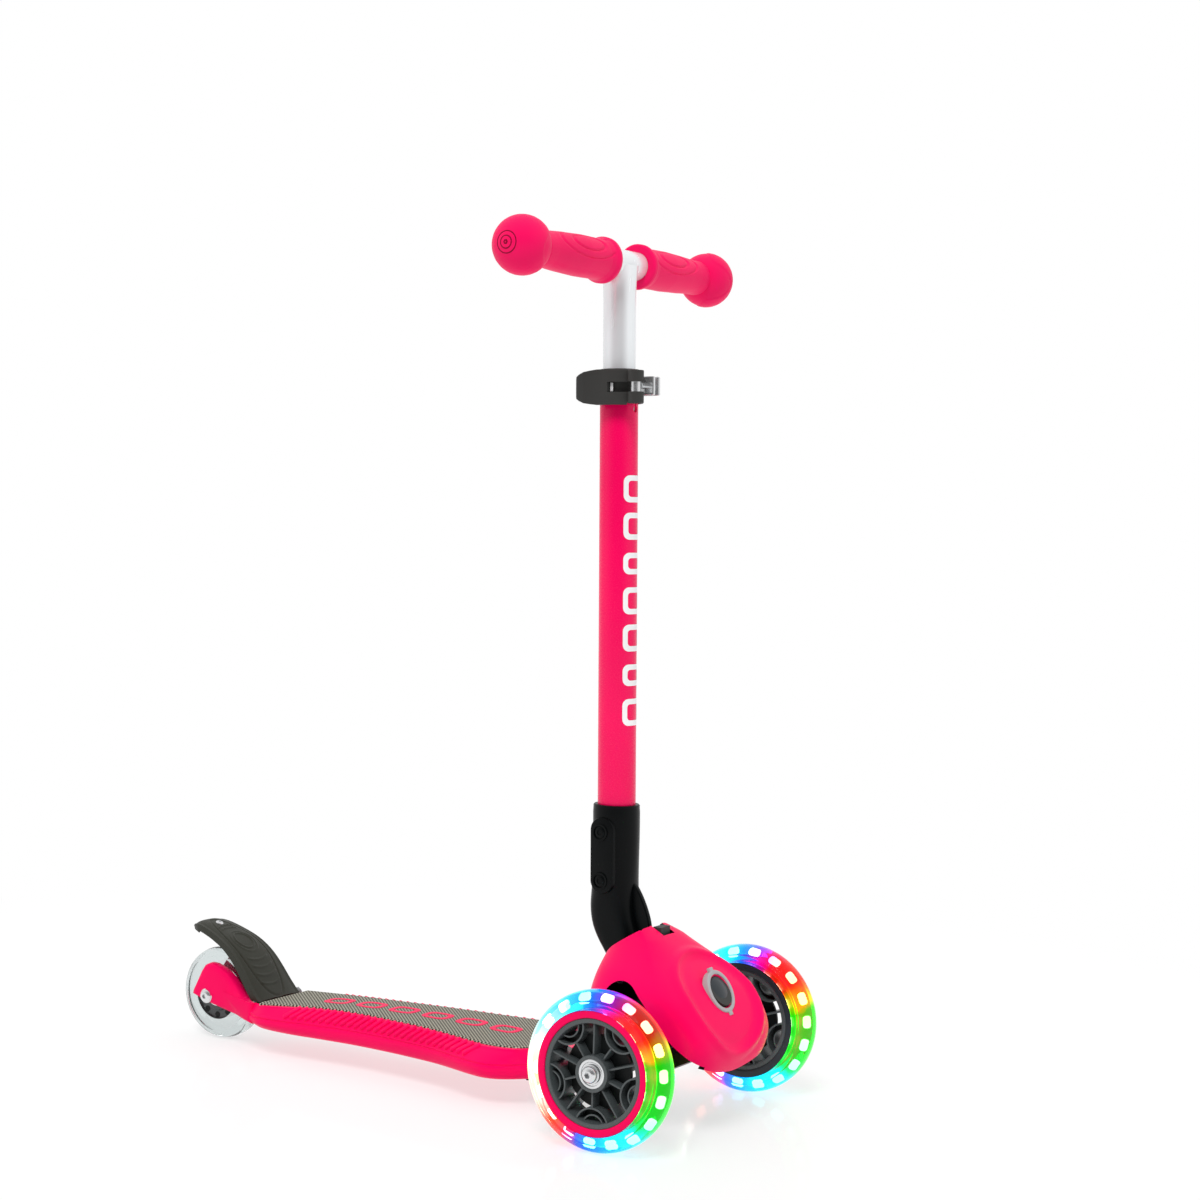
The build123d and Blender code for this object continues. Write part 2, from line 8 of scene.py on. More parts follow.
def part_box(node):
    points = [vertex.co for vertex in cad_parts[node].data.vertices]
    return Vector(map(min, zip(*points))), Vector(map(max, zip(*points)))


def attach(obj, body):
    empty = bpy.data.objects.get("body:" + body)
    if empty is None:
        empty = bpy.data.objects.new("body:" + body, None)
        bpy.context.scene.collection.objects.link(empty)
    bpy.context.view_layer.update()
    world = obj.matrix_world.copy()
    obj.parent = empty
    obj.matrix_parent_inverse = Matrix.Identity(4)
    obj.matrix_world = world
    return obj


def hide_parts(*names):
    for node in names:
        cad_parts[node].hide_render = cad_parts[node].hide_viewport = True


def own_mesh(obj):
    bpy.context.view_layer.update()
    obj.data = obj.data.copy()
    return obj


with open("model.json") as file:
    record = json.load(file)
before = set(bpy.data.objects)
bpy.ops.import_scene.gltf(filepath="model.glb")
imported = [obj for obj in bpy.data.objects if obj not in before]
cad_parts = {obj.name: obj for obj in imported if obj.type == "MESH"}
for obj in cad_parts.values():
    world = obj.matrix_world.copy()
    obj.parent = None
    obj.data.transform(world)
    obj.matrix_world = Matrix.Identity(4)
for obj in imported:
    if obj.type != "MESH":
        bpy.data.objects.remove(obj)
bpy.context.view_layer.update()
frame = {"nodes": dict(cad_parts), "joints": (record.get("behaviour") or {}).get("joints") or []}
print("frame loaded")

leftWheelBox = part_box("left_tyre")
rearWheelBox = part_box("rear_tyre")
axleY = (leftWheelBox[0][1] + leftWheelBox[1][1]) / 2
wheelHeight = (leftWheelBox[0][2] + leftWheelBox[1][2]) / 2
wheelX = (leftWheelBox[0][0] + leftWheelBox[1][0]) / 2
rearY = (rearWheelBox[0][1] + rearWheelBox[1][1]) / 2
rearHeight = (rearWheelBox[0][2] + rearWheelBox[1][2]) / 2
jointByName = {joint["name"]: joint for joint in frame["joints"]}
stemLine = Vector(jointByName["bar_height"]["axis"]).normalized()
foldPoint = Vector(jointByName["stem_fold"]["pos_m"])


def at(x, y, z):  # millimetres, measured from the floor under the front axle, y to the rear
    return Vector((x / 1000, axleY + y / 1000, z / 1000))


stemFoot = at(0, 61.6, 240.8)
stemBack = Vector((0, stemLine.z, -stemLine.y))


def upStem(x, y, z):  # millimetres in the leaning frame of the stem tube
    return stemFoot + Vector((x / 1000, 0, 0)) + stemBack * (y / 1000) + stemLine * (z / 1000)


def placeOnStem(build, spot):  # turns a shape made at the origin into the frame of the stem tube
    turn = Matrix((Vector((1, 0, 0)), stemBack, stemLine)).transposed().to_4x4()
    bmesh.ops.transform(build, matrix=Matrix.Translation(spot) @ turn, verts=build.verts)


def newMaterial(name):
    material = bpy.data.materials.new(name)
    material.use_nodes = True
    nodes = material.node_tree.nodes
    return material, nodes, material.node_tree.links, nodes["Principled BSDF"]


def mathNode(nodes, operation, first=None, second=None, third=None):
    node = nodes.new("ShaderNodeMath")
    node.operation = operation
    for socket, value in zip(node.inputs, (first, second, third)):
        if value is not None:
            socket.default_value = value
    return node


def addBump(nodes, links, shader, height, strength, distance):
    bump = nodes.new("ShaderNodeBump")
    bump.inputs["Strength"].default_value = strength
    bump.inputs["Distance"].default_value = distance
    links.new(height, bump.inputs["Height"])
    links.new(bump.outputs[0], shader.inputs["Normal"])


def rampNode(nodes, links, source, stops):
    ramp = nodes.new("ShaderNodeValToRGB")
    while len(ramp.color_ramp.elements) < len(stops):
        ramp.color_ramp.elements.new(0.5)
    for element, (place, color) in zip(ramp.color_ramp.elements, stops):
        element.position = place
        element.color = (*color, 1)
    links.new(source, ramp.inputs[0])
    return ramp.outputs[0]


def addRoughness(nodes, links, shader, source, low, high):
    rough = rampNode(nodes, links, source, [(0.3, (low,) * 3), (0.7, (high,) * 3)])
    links.new(rough, shader.inputs["Roughness"])


def objectSocket(nodes):
    return nodes.new("ShaderNodeTexCoord").outputs["Object"]


def objectMapping(nodes, links, scale, turn=0.0):
    mapping = nodes.new("ShaderNodeMapping")
    mapping.inputs["Rotation"].default_value = (0, 0, radians(turn))
    mapping.inputs["Scale"].default_value = scale
    links.new(objectSocket(nodes), mapping.inputs["Vector"])
    return mapping.outputs[0]


def noiseNode(nodes, links, scale, detail, roughness=0.5, place=None):
    noise = nodes.new("ShaderNodeTexNoise")
    noise.inputs["Scale"].default_value = scale
    noise.inputs["Detail"].default_value = detail
    noise.inputs["Roughness"].default_value = roughness
    links.new(place or objectSocket(nodes), noise.inputs["Vector"])
    return noise.outputs["Fac"]


# plain surfaces: colour, roughness, sheen and a fine grain
plasticLooks = {
    "shellRed": {"color": (0.93, 0.001, 0.105), "rough": 0.36, "gloss": 0.07, "grain": 900, "bump": 0.03},
    "tubeRed": {"color": (0.92, 0.001, 0.105), "rough": 0.26, "gloss": 0.22, "grain": 1400, "bump": 0.015},
    "gripRed": {"color": (0.92, 0.004, 0.115), "rough": 0.46, "gloss": 0.12, "grain": 1600, "bump": 0.06},
    # gripShade: painted shade for the grooves on the grip ends
    "gripShade": {"color": (0.20, 0.001, 0.020), "rough": 0.5, "gloss": 0.1, "grain": 1200, "bump": 0.03},
    "trimRed": {"color": (0.90, 0.001, 0.095), "rough": 0.40, "gloss": 0.07, "grain": 1200, "bump": 0.03},
    "holderBlack": {"color": (0.0018, 0.0024, 0.0026), "rough": 0.34, "gloss": 0.11, "grain": 1500,
                    "bump": 0.06},
    "buttonDark": {"color": (0.018, 0.024, 0.030), "rough": 0.34, "gloss": 0.40, "grain": 1500, "bump": 0.05},
    "leverBlack": {"color": (0.040, 0.040, 0.038), "rough": 0.52, "gloss": 0.20, "grain": 1300, "bump": 0.12},
    "hubGrey": {"color": (0.060, 0.070, 0.072), "rough": 0.30, "gloss": 0.55, "grain": 1100, "bump": 0.05},
    # hubDark: partly the real dark web of the hubs, partly painted shade standing for their holes
    "hubDark": {"color": (0.008, 0.010, 0.010), "rough": 0.42, "gloss": 0.20, "grain": 1100, "bump": 0.05},
    "bezelGrey": {"color": (0.40, 0.39, 0.40), "rough": 0.42, "gloss": 0.20, "grain": 1500, "bump": 0.04},
    "brakeOlive": {"color": (0.024, 0.025, 0.017), "rough": 0.48, "gloss": 0.28, "grain": 1500, "bump": 0.10},
    "graphicWhite": {"color": (0.90, 0.90, 0.91), "rough": 0.40, "gloss": 0.30, "grain": 1200, "bump": 0.01},
}


def plastic(name):
    look = plasticLooks[name]
    material, nodes, links, shader = newMaterial(name)
    grain = noiseNode(nodes, links, look["grain"], 3.0)
    cloud = noiseNode(nodes, links, 14, 2.0)
    low = tuple(channel * 0.95 for channel in look["color"])
    high = tuple(min(1, channel * 1.04) for channel in look["color"])
    tint = rampNode(nodes, links, cloud, [(0.3, low), (0.7, high)])
    links.new(tint, shader.inputs["Base Color"])
    addRoughness(nodes, links, shader, grain, look["rough"] - 0.05, look["rough"] + 0.05)
    shader.inputs["Specular IOR Level"].default_value = look["gloss"]
    addBump(nodes, links, shader, grain, look["bump"], 0.0004)
    return material


# metals: stretch is the fineness of the grain along each axis, in turns per metre
metalLooks = {
    "boltSteel": {"color": (0.74, 0.75, 0.76), "rough": 0.16, "metal": 0.85, "bump": 0.02,
                  "stretch": (400, 400, 400)},
    "barAlloy": {"color": (0.90, 0.93, 0.95), "rough": 0.24, "metal": 0.40, "bump": 0.003,
                 "stretch": (300, 300, 12)},
    "springSteel": {"color": (0.45, 0.45, 0.46), "rough": 0.35, "metal": 1.0, "bump": 0.02,
                    "stretch": (600, 600, 600)},
}


def metal(name):
    look = metalLooks[name]
    material, nodes, links, shader = newMaterial(name)
    grain = noiseNode(nodes, links, 1.0, 3.0, place=objectMapping(nodes, links, look["stretch"]))
    addRoughness(nodes, links, shader, grain, look["rough"] - 0.03, look["rough"] + 0.04)
    shader.inputs["Base Color"].default_value = (*look["color"], 1)
    shader.inputs["Metallic"].default_value = look["metal"]
    addBump(nodes, links, shader, grain, look["bump"], 0.0003)
    return material


# the mat is dark in the hollows between its dots and light on them: painted shade in the hollows
matLook = {"dark": (0.030, 0.030, 0.020), "light": (0.42, 0.40, 0.33), "dotsPerMetre": 400.0}


def matRubber():
    material, nodes, links, shader = newMaterial("matRubber")
    mapping = objectMapping(nodes, links, (matLook["dotsPerMetre"],) * 3, 45)
    split = nodes.new("ShaderNodeSeparateXYZ")
    links.new(mapping, split.inputs[0])
    total = mathNode(nodes, "ADD")
    for index, axis in enumerate(("X", "Y")):
        scaled = mathNode(nodes, "MULTIPLY", None, 2 * pi)
        wave = mathNode(nodes, "COSINE")
        links.new(split.outputs[axis], scaled.inputs[0])
        links.new(scaled.outputs[0], wave.inputs[0])
        links.new(wave.outputs[0], total.inputs[index])
    height = nodes.new("ShaderNodeMapRange")
    height.inputs["From Min"].default_value = -1.2
    height.inputs["From Max"].default_value = 1.6
    links.new(total.outputs[0], height.inputs["Value"])
    # colour follows the height of the dots, darker lower down: painted shade between the dots
    color = rampNode(nodes, links, height.outputs[0], [(0.15, matLook["dark"]), (0.75, matLook["light"])])
    links.new(color, shader.inputs["Base Color"])
    shader.inputs["Roughness"].default_value = 0.7
    shader.inputs["Specular IOR Level"].default_value = 0.2
    addBump(nodes, links, shader, height.outputs[0], 0.6, 0.0006)
    return material


clearLook = {
    "ior": 1.30, "rough": (0.03, 0.07), "glow": 0.52, "wobble": 0.05,
    "rearTint": (0.66, 0.72, 0.72), "rearIor": 1.46,
}

# colour of the light round a front wheel as a share of a turn from the top, forwards first
glowStops = [
    (0.000, (0.00, 0.14, 1.00)), (0.030, (0.25, 0.02, 0.85)), (0.055, (0.80, 0.00, 0.35)),
    (0.080, (1.00, 0.01, 0.01)), (0.150, (1.00, 0.04, 0.00)), (0.185, (0.80, 0.75, 0.00)),
    (0.210, (0.02, 1.00, 0.00)), (0.350, (0.00, 0.95, 0.02)), (0.390, (0.00, 0.80, 0.75)),
    (0.460, (0.00, 0.65, 1.00)), (0.535, (0.00, 0.14, 1.00)), (0.570, (0.90, 0.05, 0.10)),
    (0.625, (1.00, 0.08, 0.02)), (0.665, (1.00, 0.70, 0.60)), (0.730, (0.65, 1.00, 0.60)),
    (0.790, (0.85, 1.00, 0.90)), (0.850, (0.30, 0.95, 1.00)), (0.930, (0.00, 0.70, 1.00)),
    (1.000, (0.00, 0.14, 1.00)),
]


def clearRubber(name, tint, ior):
    material, nodes, links, shader = newMaterial(name)
    addRoughness(nodes, links, shader, noiseNode(nodes, links, 60, 2.0), *clearLook["rough"])
    shader.inputs["Base Color"].default_value = (*tint, 1)
    shader.inputs["Transmission Weight"].default_value = 1.0
    shader.inputs["IOR"].default_value = ior
    return material, nodes, links, shader


def glowTyre():
    material, nodes, links, shader = clearRubber("glowTyre", (1, 1, 1), clearLook["ior"])
    away = nodes.new("ShaderNodeVectorMath")
    away.operation = "SUBTRACT"
    away.inputs[1].default_value = (0, axleY, wheelHeight)
    split = nodes.new("ShaderNodeSeparateXYZ")
    links.new(objectSocket(nodes), away.inputs[0])
    links.new(away.outputs[0], split.inputs[0])
    forward = mathNode(nodes, "MULTIPLY", None, -1.0)
    angle = mathNode(nodes, "ARCTAN2")
    links.new(split.outputs["Y"], forward.inputs[0])
    links.new(forward.outputs[0], angle.inputs[0])
    links.new(split.outputs["Z"], angle.inputs[1])
    clock = mathNode(nodes, "DIVIDE", None, 2 * pi)
    links.new(angle.outputs[0], clock.inputs[0])
    streak = noiseNode(nodes, links, 55, 3.0, 0.6)
    wobble = mathNode(nodes, "MULTIPLY_ADD", None, clearLook["wobble"], -clearLook["wobble"] / 2)
    links.new(streak, wobble.inputs[0])
    place = mathNode(nodes, "ADD")
    links.new(clock.outputs[0], place.inputs[0])
    links.new(wobble.outputs[0], place.inputs[1])
    turn = mathNode(nodes, "FRACT")
    links.new(place.outputs[0], turn.inputs[0])
    glow = rampNode(nodes, links, turn.outputs[0], glowStops)
    pale = rampNode(nodes, links, turn.outputs[0],
                    [(spot, tuple(0.01 + 0.99 * channel for channel in color)) for spot, color in glowStops])
    links.new(pale, shader.inputs["Base Color"])
    links.new(glow, shader.inputs["Emission Color"])
    shader.inputs["Emission Strength"].default_value = clearLook["glow"]
    return material


lampLook = {"edge": (0.93, 0.98, 1), "middle": (1, 1, 1), "glow": 7.0}


def lampLight():
    material, nodes, links, shader = newMaterial("lampWhite")
    cloud = noiseNode(nodes, links, 40, 2.0)
    tint = rampNode(nodes, links, cloud, [(0.3, lampLook["edge"]), (0.7, lampLook["middle"])])
    links.new(tint, shader.inputs["Emission Color"])
    links.new(tint, shader.inputs["Base Color"])
    shader.inputs["Emission Strength"].default_value = lampLook["glow"]
    return material


materials = {name: plastic(name) for name in plasticLooks}
materials.update({name: metal(name) for name in metalLooks})
materials["matRubber"] = matRubber()
materials["rearClear"] = clearRubber("rearClear", clearLook["rearTint"], clearLook["rearIor"])[0]
materials["glowTyre"] = glowTyre()
materials["lampWhite"] = lampLight()
print("materials made")


def finishPiece(name, mesh, material, body, replaces=(), smooth=35):
    piece = bpy.data.objects.new(name, mesh)
    bpy.context.scene.collection.objects.link(piece)
    if not mesh.materials:
        mesh.materials.append(materials[material])
    if smooth:
        mesh.shade_smooth()
        mesh.set_sharp_from_angle(angle=radians(smooth))
    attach(piece, body)
    if replaces:
        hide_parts(*replaces)


def tidyNormals(build):
    bmesh.ops.remove_doubles(build, verts=build.verts, dist=1e-6)
    bmesh.ops.recalc_face_normals(build, faces=build.faces)


def meshFrom(build, name, recalc=True):
    if recalc:
        tidyNormals(build)
    mesh = bpy.data.meshes.new(name)
    build.to_mesh(mesh)
    build.free()
    return mesh


def addBand(build, low, high, flip=False, materialIndex=0):
    # a closed band of faces between two rings of vertices
    for index in range(len(low)):
        following = (index + 1) % len(low)
        quad = (low[index], low[following], high[following], high[index])
        face = build.faces.new(tuple(reversed(quad)) if flip else quad)
        face.material_index = materialIndex


def addRows(build, rows, capStart=True, capEnd=True):
    # bands between closed rows of points, with fans of triangles over the ends
    grid = [[build.verts.new(point) for point in row] for row in rows]
    for low, high in zip(grid, grid[1:]):
        addBand(build, low, high)
    for wanted, row in ((capStart, grid[0]), (capEnd, grid[-1])):
        if wanted:
            centre = build.verts.new(sum((v.co for v in row), Vector()) / len(row))
            for index in range(len(row)):
                build.faces.new((row[index], row[(index + 1) % len(row)], centre))


def lathe(profile, origin, axis, steps=64, closedProfile=True):
    # profile holds (distance along the axis, radius) in millimetres
    axis = Vector(axis).normalized()
    helper = Vector((0, 0, 1)) if abs(axis.z) < 0.9 else Vector((0, 1, 0))
    u = axis.cross(helper).normalized()
    v = axis.cross(u)
    build = bmesh.new()
    rows = []
    for along, radius in profile:
        centre = Vector(origin) + axis * (along / 1000)
        rows.append([
            centre + (u * cos(2 * pi * k / steps) + v * sin(2 * pi * k / steps)) * (radius / 1000)
            for k in range(steps)
        ])
    if closedProfile:
        rows.append(rows[0])
    addRows(build, rows, not closedProfile, not closedProfile)
    return build


def rod(low, high, radius, origin, axis, steps=48, rounding=0.0):
    # a solid round bar between two distances along its axis, in millimetres
    profile = [(low, radius), (high, radius)]
    if rounding:
        profile = [(low, radius - rounding), (low + rounding, radius), (high - rounding, radius),
                   (high, radius - rounding)]
    return lathe(profile, origin, axis, steps, False)


def roundProfile(points, radius, steps=4):
    # replaces each corner of a closed profile by a short arc-like curve
    result = []
    count = len(points)
    for index in range(count):
        corner = Vector(points[index])
        before = Vector(points[index - 1]) - corner
        after = Vector(points[(index + 1) % count]) - corner
        cut = min(radius, before.length * 0.45, after.length * 0.45)
        start = corner + before.normalized() * cut
        end = corner + after.normalized() * cut
        for step in range(steps + 1):
            t = step / steps
            result.append(tuple(start * (1 - t) ** 2 + corner * 2 * t * (1 - t) + end * t ** 2))
    return result


def ringProfile(low, high, inner, outer, rounding=0.0, steps=2):
    # section of a ring between two distances along its axis
    corners = [(low, inner), (low, outer), (high, outer), (high, inner)]
    return roundProfile(corners, rounding, steps) if rounding else corners


def signedPower(value, power):
    return (1 if value > 0 else -1) * abs(value) ** power


def joinBuilds(target, *others):
    for other in others:
        temp = bpy.data.meshes.new("temp")
        other.to_mesh(temp)
        other.free()
        target.from_mesh(temp)
        bpy.data.meshes.remove(temp)
    return target


def booleanMesh(base, cutters, name):
    # cuts the cutters out of a mesh and returns the result
    holder = bpy.data.objects.new(name + "Work", base)
    bpy.context.scene.collection.objects.link(holder)
    helpers = []
    for index, cutter in enumerate(cutters):
        helper = bpy.data.objects.new(f"{name}Cut{index}", cutter)
        bpy.context.scene.collection.objects.link(helper)
        modifier = holder.modifiers.new(f"cut{index}", "BOOLEAN")
        modifier.operation = "DIFFERENCE"
        modifier.solver = "EXACT"
        modifier.object = helper
        helpers.append(helper)
    depsgraph = bpy.context.evaluated_depsgraph_get()
    result = bpy.data.meshes.new_from_object(holder.evaluated_get(depsgraph))
    result.name = name
    for thing in (holder, *helpers):
        old = thing.data
        bpy.data.objects.remove(thing)
        bpy.data.meshes.remove(old)
    return result


def outlinePrism(first, last):
    # a solid between two copies of one closed outline
    build = bmesh.new()
    low = [build.verts.new(point) for point in first]
    high = [build.verts.new(point) for point in last]
    addBand(build, low, high)
    build.faces.new(list(reversed(low)))
    build.faces.new(high)
    return meshFrom(build, "prism")


def prismX(points, lowX, highX):
    # closed outline of (y, z) points pulled along X, in millimetres
    return outlinePrism(*[[at(x, y, z) for y, z in points] for x in (lowX, highX)])


def prismY(points, lowY, highY):
    # closed outline of (x, z) points pulled along Y, in millimetres
    return outlinePrism(*[[at(x, y, z) for x, z in points] for y in (lowY, highY)])


def linePoint(points, share):
    # where a Catmull-Rom curve through the points is after a share of its spans
    count = len(points)
    place = share * (count - 1)
    index = min(int(place), count - 2)
    t = place - index
    p1, p2 = Vector(points[index]), Vector(points[index + 1])
    p0 = Vector(points[index - 1]) if index > 0 else p1 * 2 - p2
    p3 = Vector(points[index + 2]) if index + 2 < count else p2 * 2 - p1
    return 0.5 * (2 * p1 + (p2 - p0) * t + (2 * p0 - 5 * p1 + 4 * p2 - p3) * t ** 2
                  + (3 * p1 - p0 - 3 * p2 + p3) * t ** 3)


def smoothLine(points, steps):
    return [linePoint(points, step / steps) for step in range(steps + 1)]


def curveValue(points, x):
    # smooth value of a table of (x, value) pairs
    if x <= points[0][0]:
        return points[0][1]
    if x >= points[-1][0]:
        return points[-1][1]
    for (x0, y0), (x1, y1) in zip(points, points[1:]):
        if x0 <= x <= x1:
            t = (x - x0) / (x1 - x0)
            index = points.index((x0, y0))
            left = points[index - 1] if index else (x0, y0)
            right = points[index + 2] if index + 2 < len(points) else (x1, y1)
            m0 = (y1 - left[1]) / (x1 - left[0]) * (x1 - x0)
            m1 = (right[1] - y0) / (right[0] - x0) * (x1 - x0)
            return ((2 * t ** 3 - 3 * t ** 2 + 1) * y0 + (t ** 3 - 2 * t ** 2 + t) * m0
                    + (3 * t ** 2 - 2 * t ** 3) * y1 + (t ** 3 - t ** 2) * m1)


def newTree(name, extra):
    # the frame that both trees share: a piece to copy, a place for each copy, one material
    tree = bpy.data.node_groups.new(name, "GeometryNodeTree")
    sockets = [("Piece", "NodeSocketObject"), *extra, ("Finish", "NodeSocketMaterial")]
    tree.interface.new_socket("Geometry", in_out="INPUT", socket_type="NodeSocketGeometry")
    for label, kind in sockets:
        tree.interface.new_socket(label, in_out="INPUT", socket_type=kind)
    tree.interface.new_socket("Geometry", in_out="OUTPUT", socket_type="NodeSocketGeometry")
    nodes, links = tree.nodes, tree.links
    entry, leave = nodes.new("NodeGroupInput"), nodes.new("NodeGroupOutput")
    info = nodes.new("GeometryNodeObjectInfo")
    place = nodes.new("GeometryNodeInstanceOnPoints")
    real = nodes.new("GeometryNodeRealizeInstances")
    finish = nodes.new("GeometryNodeSetMaterial")
    links.new(entry.outputs["Piece"], info.inputs["Object"])
    links.new(info.outputs["Geometry"], place.inputs["Instance"])
    links.new(place.outputs[0], real.inputs[0])
    links.new(real.outputs[0], finish.inputs["Geometry"])
    links.new(entry.outputs["Finish"], finish.inputs["Material"])
    links.new(finish.outputs[0], leave.inputs[0])
    return tree, nodes, links, entry, place


def ringTree():
    # copies an object round the X axis through a centre
    tree, nodes, links, entry, place = newTree("wheelRing", [
        ("Count", "NodeSocketInt"), ("Start Angle", "NodeSocketFloat"), ("Centre", "NodeSocketVector")])
    line = nodes.new("GeometryNodeMeshLine")
    line.inputs["Offset"].default_value = (0, 0, 0)
    links.new(entry.outputs["Count"], line.inputs["Count"])
    links.new(entry.outputs["Centre"], line.inputs["Start Location"])
    index = nodes.new("GeometryNodeInputIndex")
    step = mathNode(nodes, "DIVIDE", 2 * pi)
    links.new(entry.outputs["Count"], step.inputs[1])
    turn = mathNode(nodes, "MULTIPLY_ADD")
    links.new(index.outputs[0], turn.inputs[0])
    links.new(step.outputs[0], turn.inputs[1])
    links.new(entry.outputs["Start Angle"], turn.inputs[2])
    angles = nodes.new("ShaderNodeCombineXYZ")
    links.new(turn.outputs[0], angles.inputs["X"])
    links.new(line.outputs[0], place.inputs["Points"])
    links.new(angles.outputs[0], place.inputs["Rotation"])
    return tree


def rowTree():
    # copies an object to each point of a mesh, turned and sized as that point says
    tree, nodes, links, entry, place = newTree("fittedRow", [("Size", "NodeSocketFloat")])
    links.new(entry.outputs["Geometry"], place.inputs["Points"])
    for label, socket in (("turn", "Rotation"), ("stretch", "Scale")):
        reader = nodes.new("GeometryNodeInputNamedAttribute")
        reader.data_type = "FLOAT_VECTOR"
        reader.inputs["Name"].default_value = label
        value = [output for output in reader.outputs if output.enabled][0]
        if label == "stretch":
            grow = nodes.new("ShaderNodeVectorMath")
            grow.operation = "SCALE"
            links.new(value, grow.inputs[0])
            links.new(entry.outputs["Size"], grow.inputs["Scale"])
            value = grow.outputs[0]
        links.new(value, place.inputs[socket])
    return tree


def runTree(tree, base, values, name):
    # evaluates a node tree on a mesh and returns a plain mesh
    carrier = bpy.data.objects.new(name + "Carrier", base)
    bpy.context.scene.collection.objects.link(carrier)
    modifier = carrier.modifiers.new("nodes", "NODES")
    modifier.node_group = tree
    identifiers = {
        item.name: item.identifier for item in tree.interface.items_tree if item.in_out == "INPUT"
    }
    for key, value in values.items():
        modifier[identifiers[key]] = value
    depsgraph = bpy.context.evaluated_depsgraph_get()
    depsgraph.update()
    result = bpy.data.meshes.new_from_object(carrier.evaluated_get(depsgraph))
    result.name = name
    carrier.modifiers.remove(modifier)
    bpy.data.objects.remove(carrier)
    piece = values["Piece"]
    shape = piece.data
    bpy.data.objects.remove(piece)
    bpy.data.meshes.remove(shape)
    return result


def seedObject(build, name):
    # a working object that a node tree copies
    mesh = meshFrom(build, name)
    mesh.shade_smooth()
    mesh.set_sharp_from_angle(angle=radians(35))
    seed = bpy.data.objects.new(name, mesh)
    bpy.context.scene.collection.objects.link(seed)
    return seed


def ringMesh(name, build, count, start, centre, material):
    values = {"Piece": seedObject(build, name + "Seed"), "Count": count, "Start Angle": start,
              "Centre": centre, "Finish": materials[material]}
    return runTree(wheelRing, bpy.data.meshes.new(name + "Base"), values, name)


def rowMesh(name, build, places, material):
    # places holds (point, three axes as a matrix, stretch) for each copy
    base = bpy.data.meshes.new(name + "Base")
    base.from_pydata([tuple(point) for point, axes, stretch in places], [], [])
    turn = base.attributes.new("turn", "FLOAT_VECTOR", "POINT")
    grow = base.attributes.new("stretch", "FLOAT_VECTOR", "POINT")
    for index, (point, axes, stretch) in enumerate(places):
        turn.data[index].vector = axes.to_euler("XYZ")
        grow.data[index].vector = stretch
    values = {"Piece": seedObject(build, name + "Seed"), "Size": 1.0, "Finish": materials[material]}
    return runTree(fittedRow, base, values, name)


def axesFrom(along, normal):
    # turns X along a direction and Z along a normal
    along = Vector(along).normalized()
    normal = (Vector(normal) - along * Vector(normal).dot(along)).normalized()
    return Matrix((along, normal.cross(along), normal)).transposed()


def bevelBox(low, high, radius, segments=2):
    # a box between two corners in metres, with rounded edges
    build = bmesh.new()
    bmesh.ops.create_cube(build, size=1)
    for vert in build.verts:
        vert.co = Vector([low[i] + (vert.co[i] + 0.5) * (high[i] - low[i]) for i in range(3)])
    bmesh.ops.bevel(build, geom=build.edges[:], offset=radius, segments=segments, affect="EDGES",
                    profile=0.5)
    return build


wheelRing = ringTree()
fittedRow = rowTree()

# sizes in millimetres, here and below
frontWheel = {
    "tyreRadius": 60.5, "tyreHalf": 13.0, "rimRadius": 46.9, "hubRadius": 41.0, "webOut": 36.4,
    "lampCount": 18, "lampRadius": 52.8, "lampLength": 9.6, "lampHigh": 4.6, "lampThick": 4.6,
    "spokes": 5, "spokeWide": 1.6, "spokeReach": 38.0, "shortReach": 26.8, "arcRadius": 13.4, "arcWall": 1.3,
    "arcCentre": 40.0, "coreRadius": 13.8,
    "keyAngle": 0.35, "keyLength": 9.0, "keyHigh": 3.0, "keySunk": 0.6,
}


def wheelProfile(half, outer, inner, crown):
    points = [(-half, inner), (-half, outer - crown), (-half * 0.62, outer - crown * 0.22), (0, outer),
              (half * 0.62, outer - crown * 0.22), (half, outer - crown), (half, inner)]
    crownRun = smoothLine(points[1:6], 20)
    return [points[0]] + [tuple(p) for p in crownRun] + [points[-1]]


def tyrePiece(side, centre):
    w = frontWheel
    profile = wheelProfile(w["tyreHalf"], w["tyreRadius"] - 0.1, w["rimRadius"], 7.5)
    mesh = meshFrom(lathe(profile, centre, (1, 0, 0), 144), "tyre")
    finishPiece(f"{side}_tyre_clear", mesh, "glowTyre", f"{side}_wheel", (f"{side}_tyre",))


def lampPieces(side, centre):
    w = frontWheel
    low = (-w["lampThick"] / 2000, -w["lampLength"] / 2000, (w["lampRadius"] - w["lampHigh"] / 2) / 1000)
    high = (w["lampThick"] / 2000, w["lampLength"] / 2000, (w["lampRadius"] + w["lampHigh"] / 2) / 1000)
    mesh = ringMesh("lamps", bevelBox(low, high, 0.0021, 5), w["lampCount"], 0.1, centre, "lampWhite")
    finishPiece(f"{side}_lamps", mesh, "lampWhite", f"{side}_wheel", (f"{side}_light_band",))


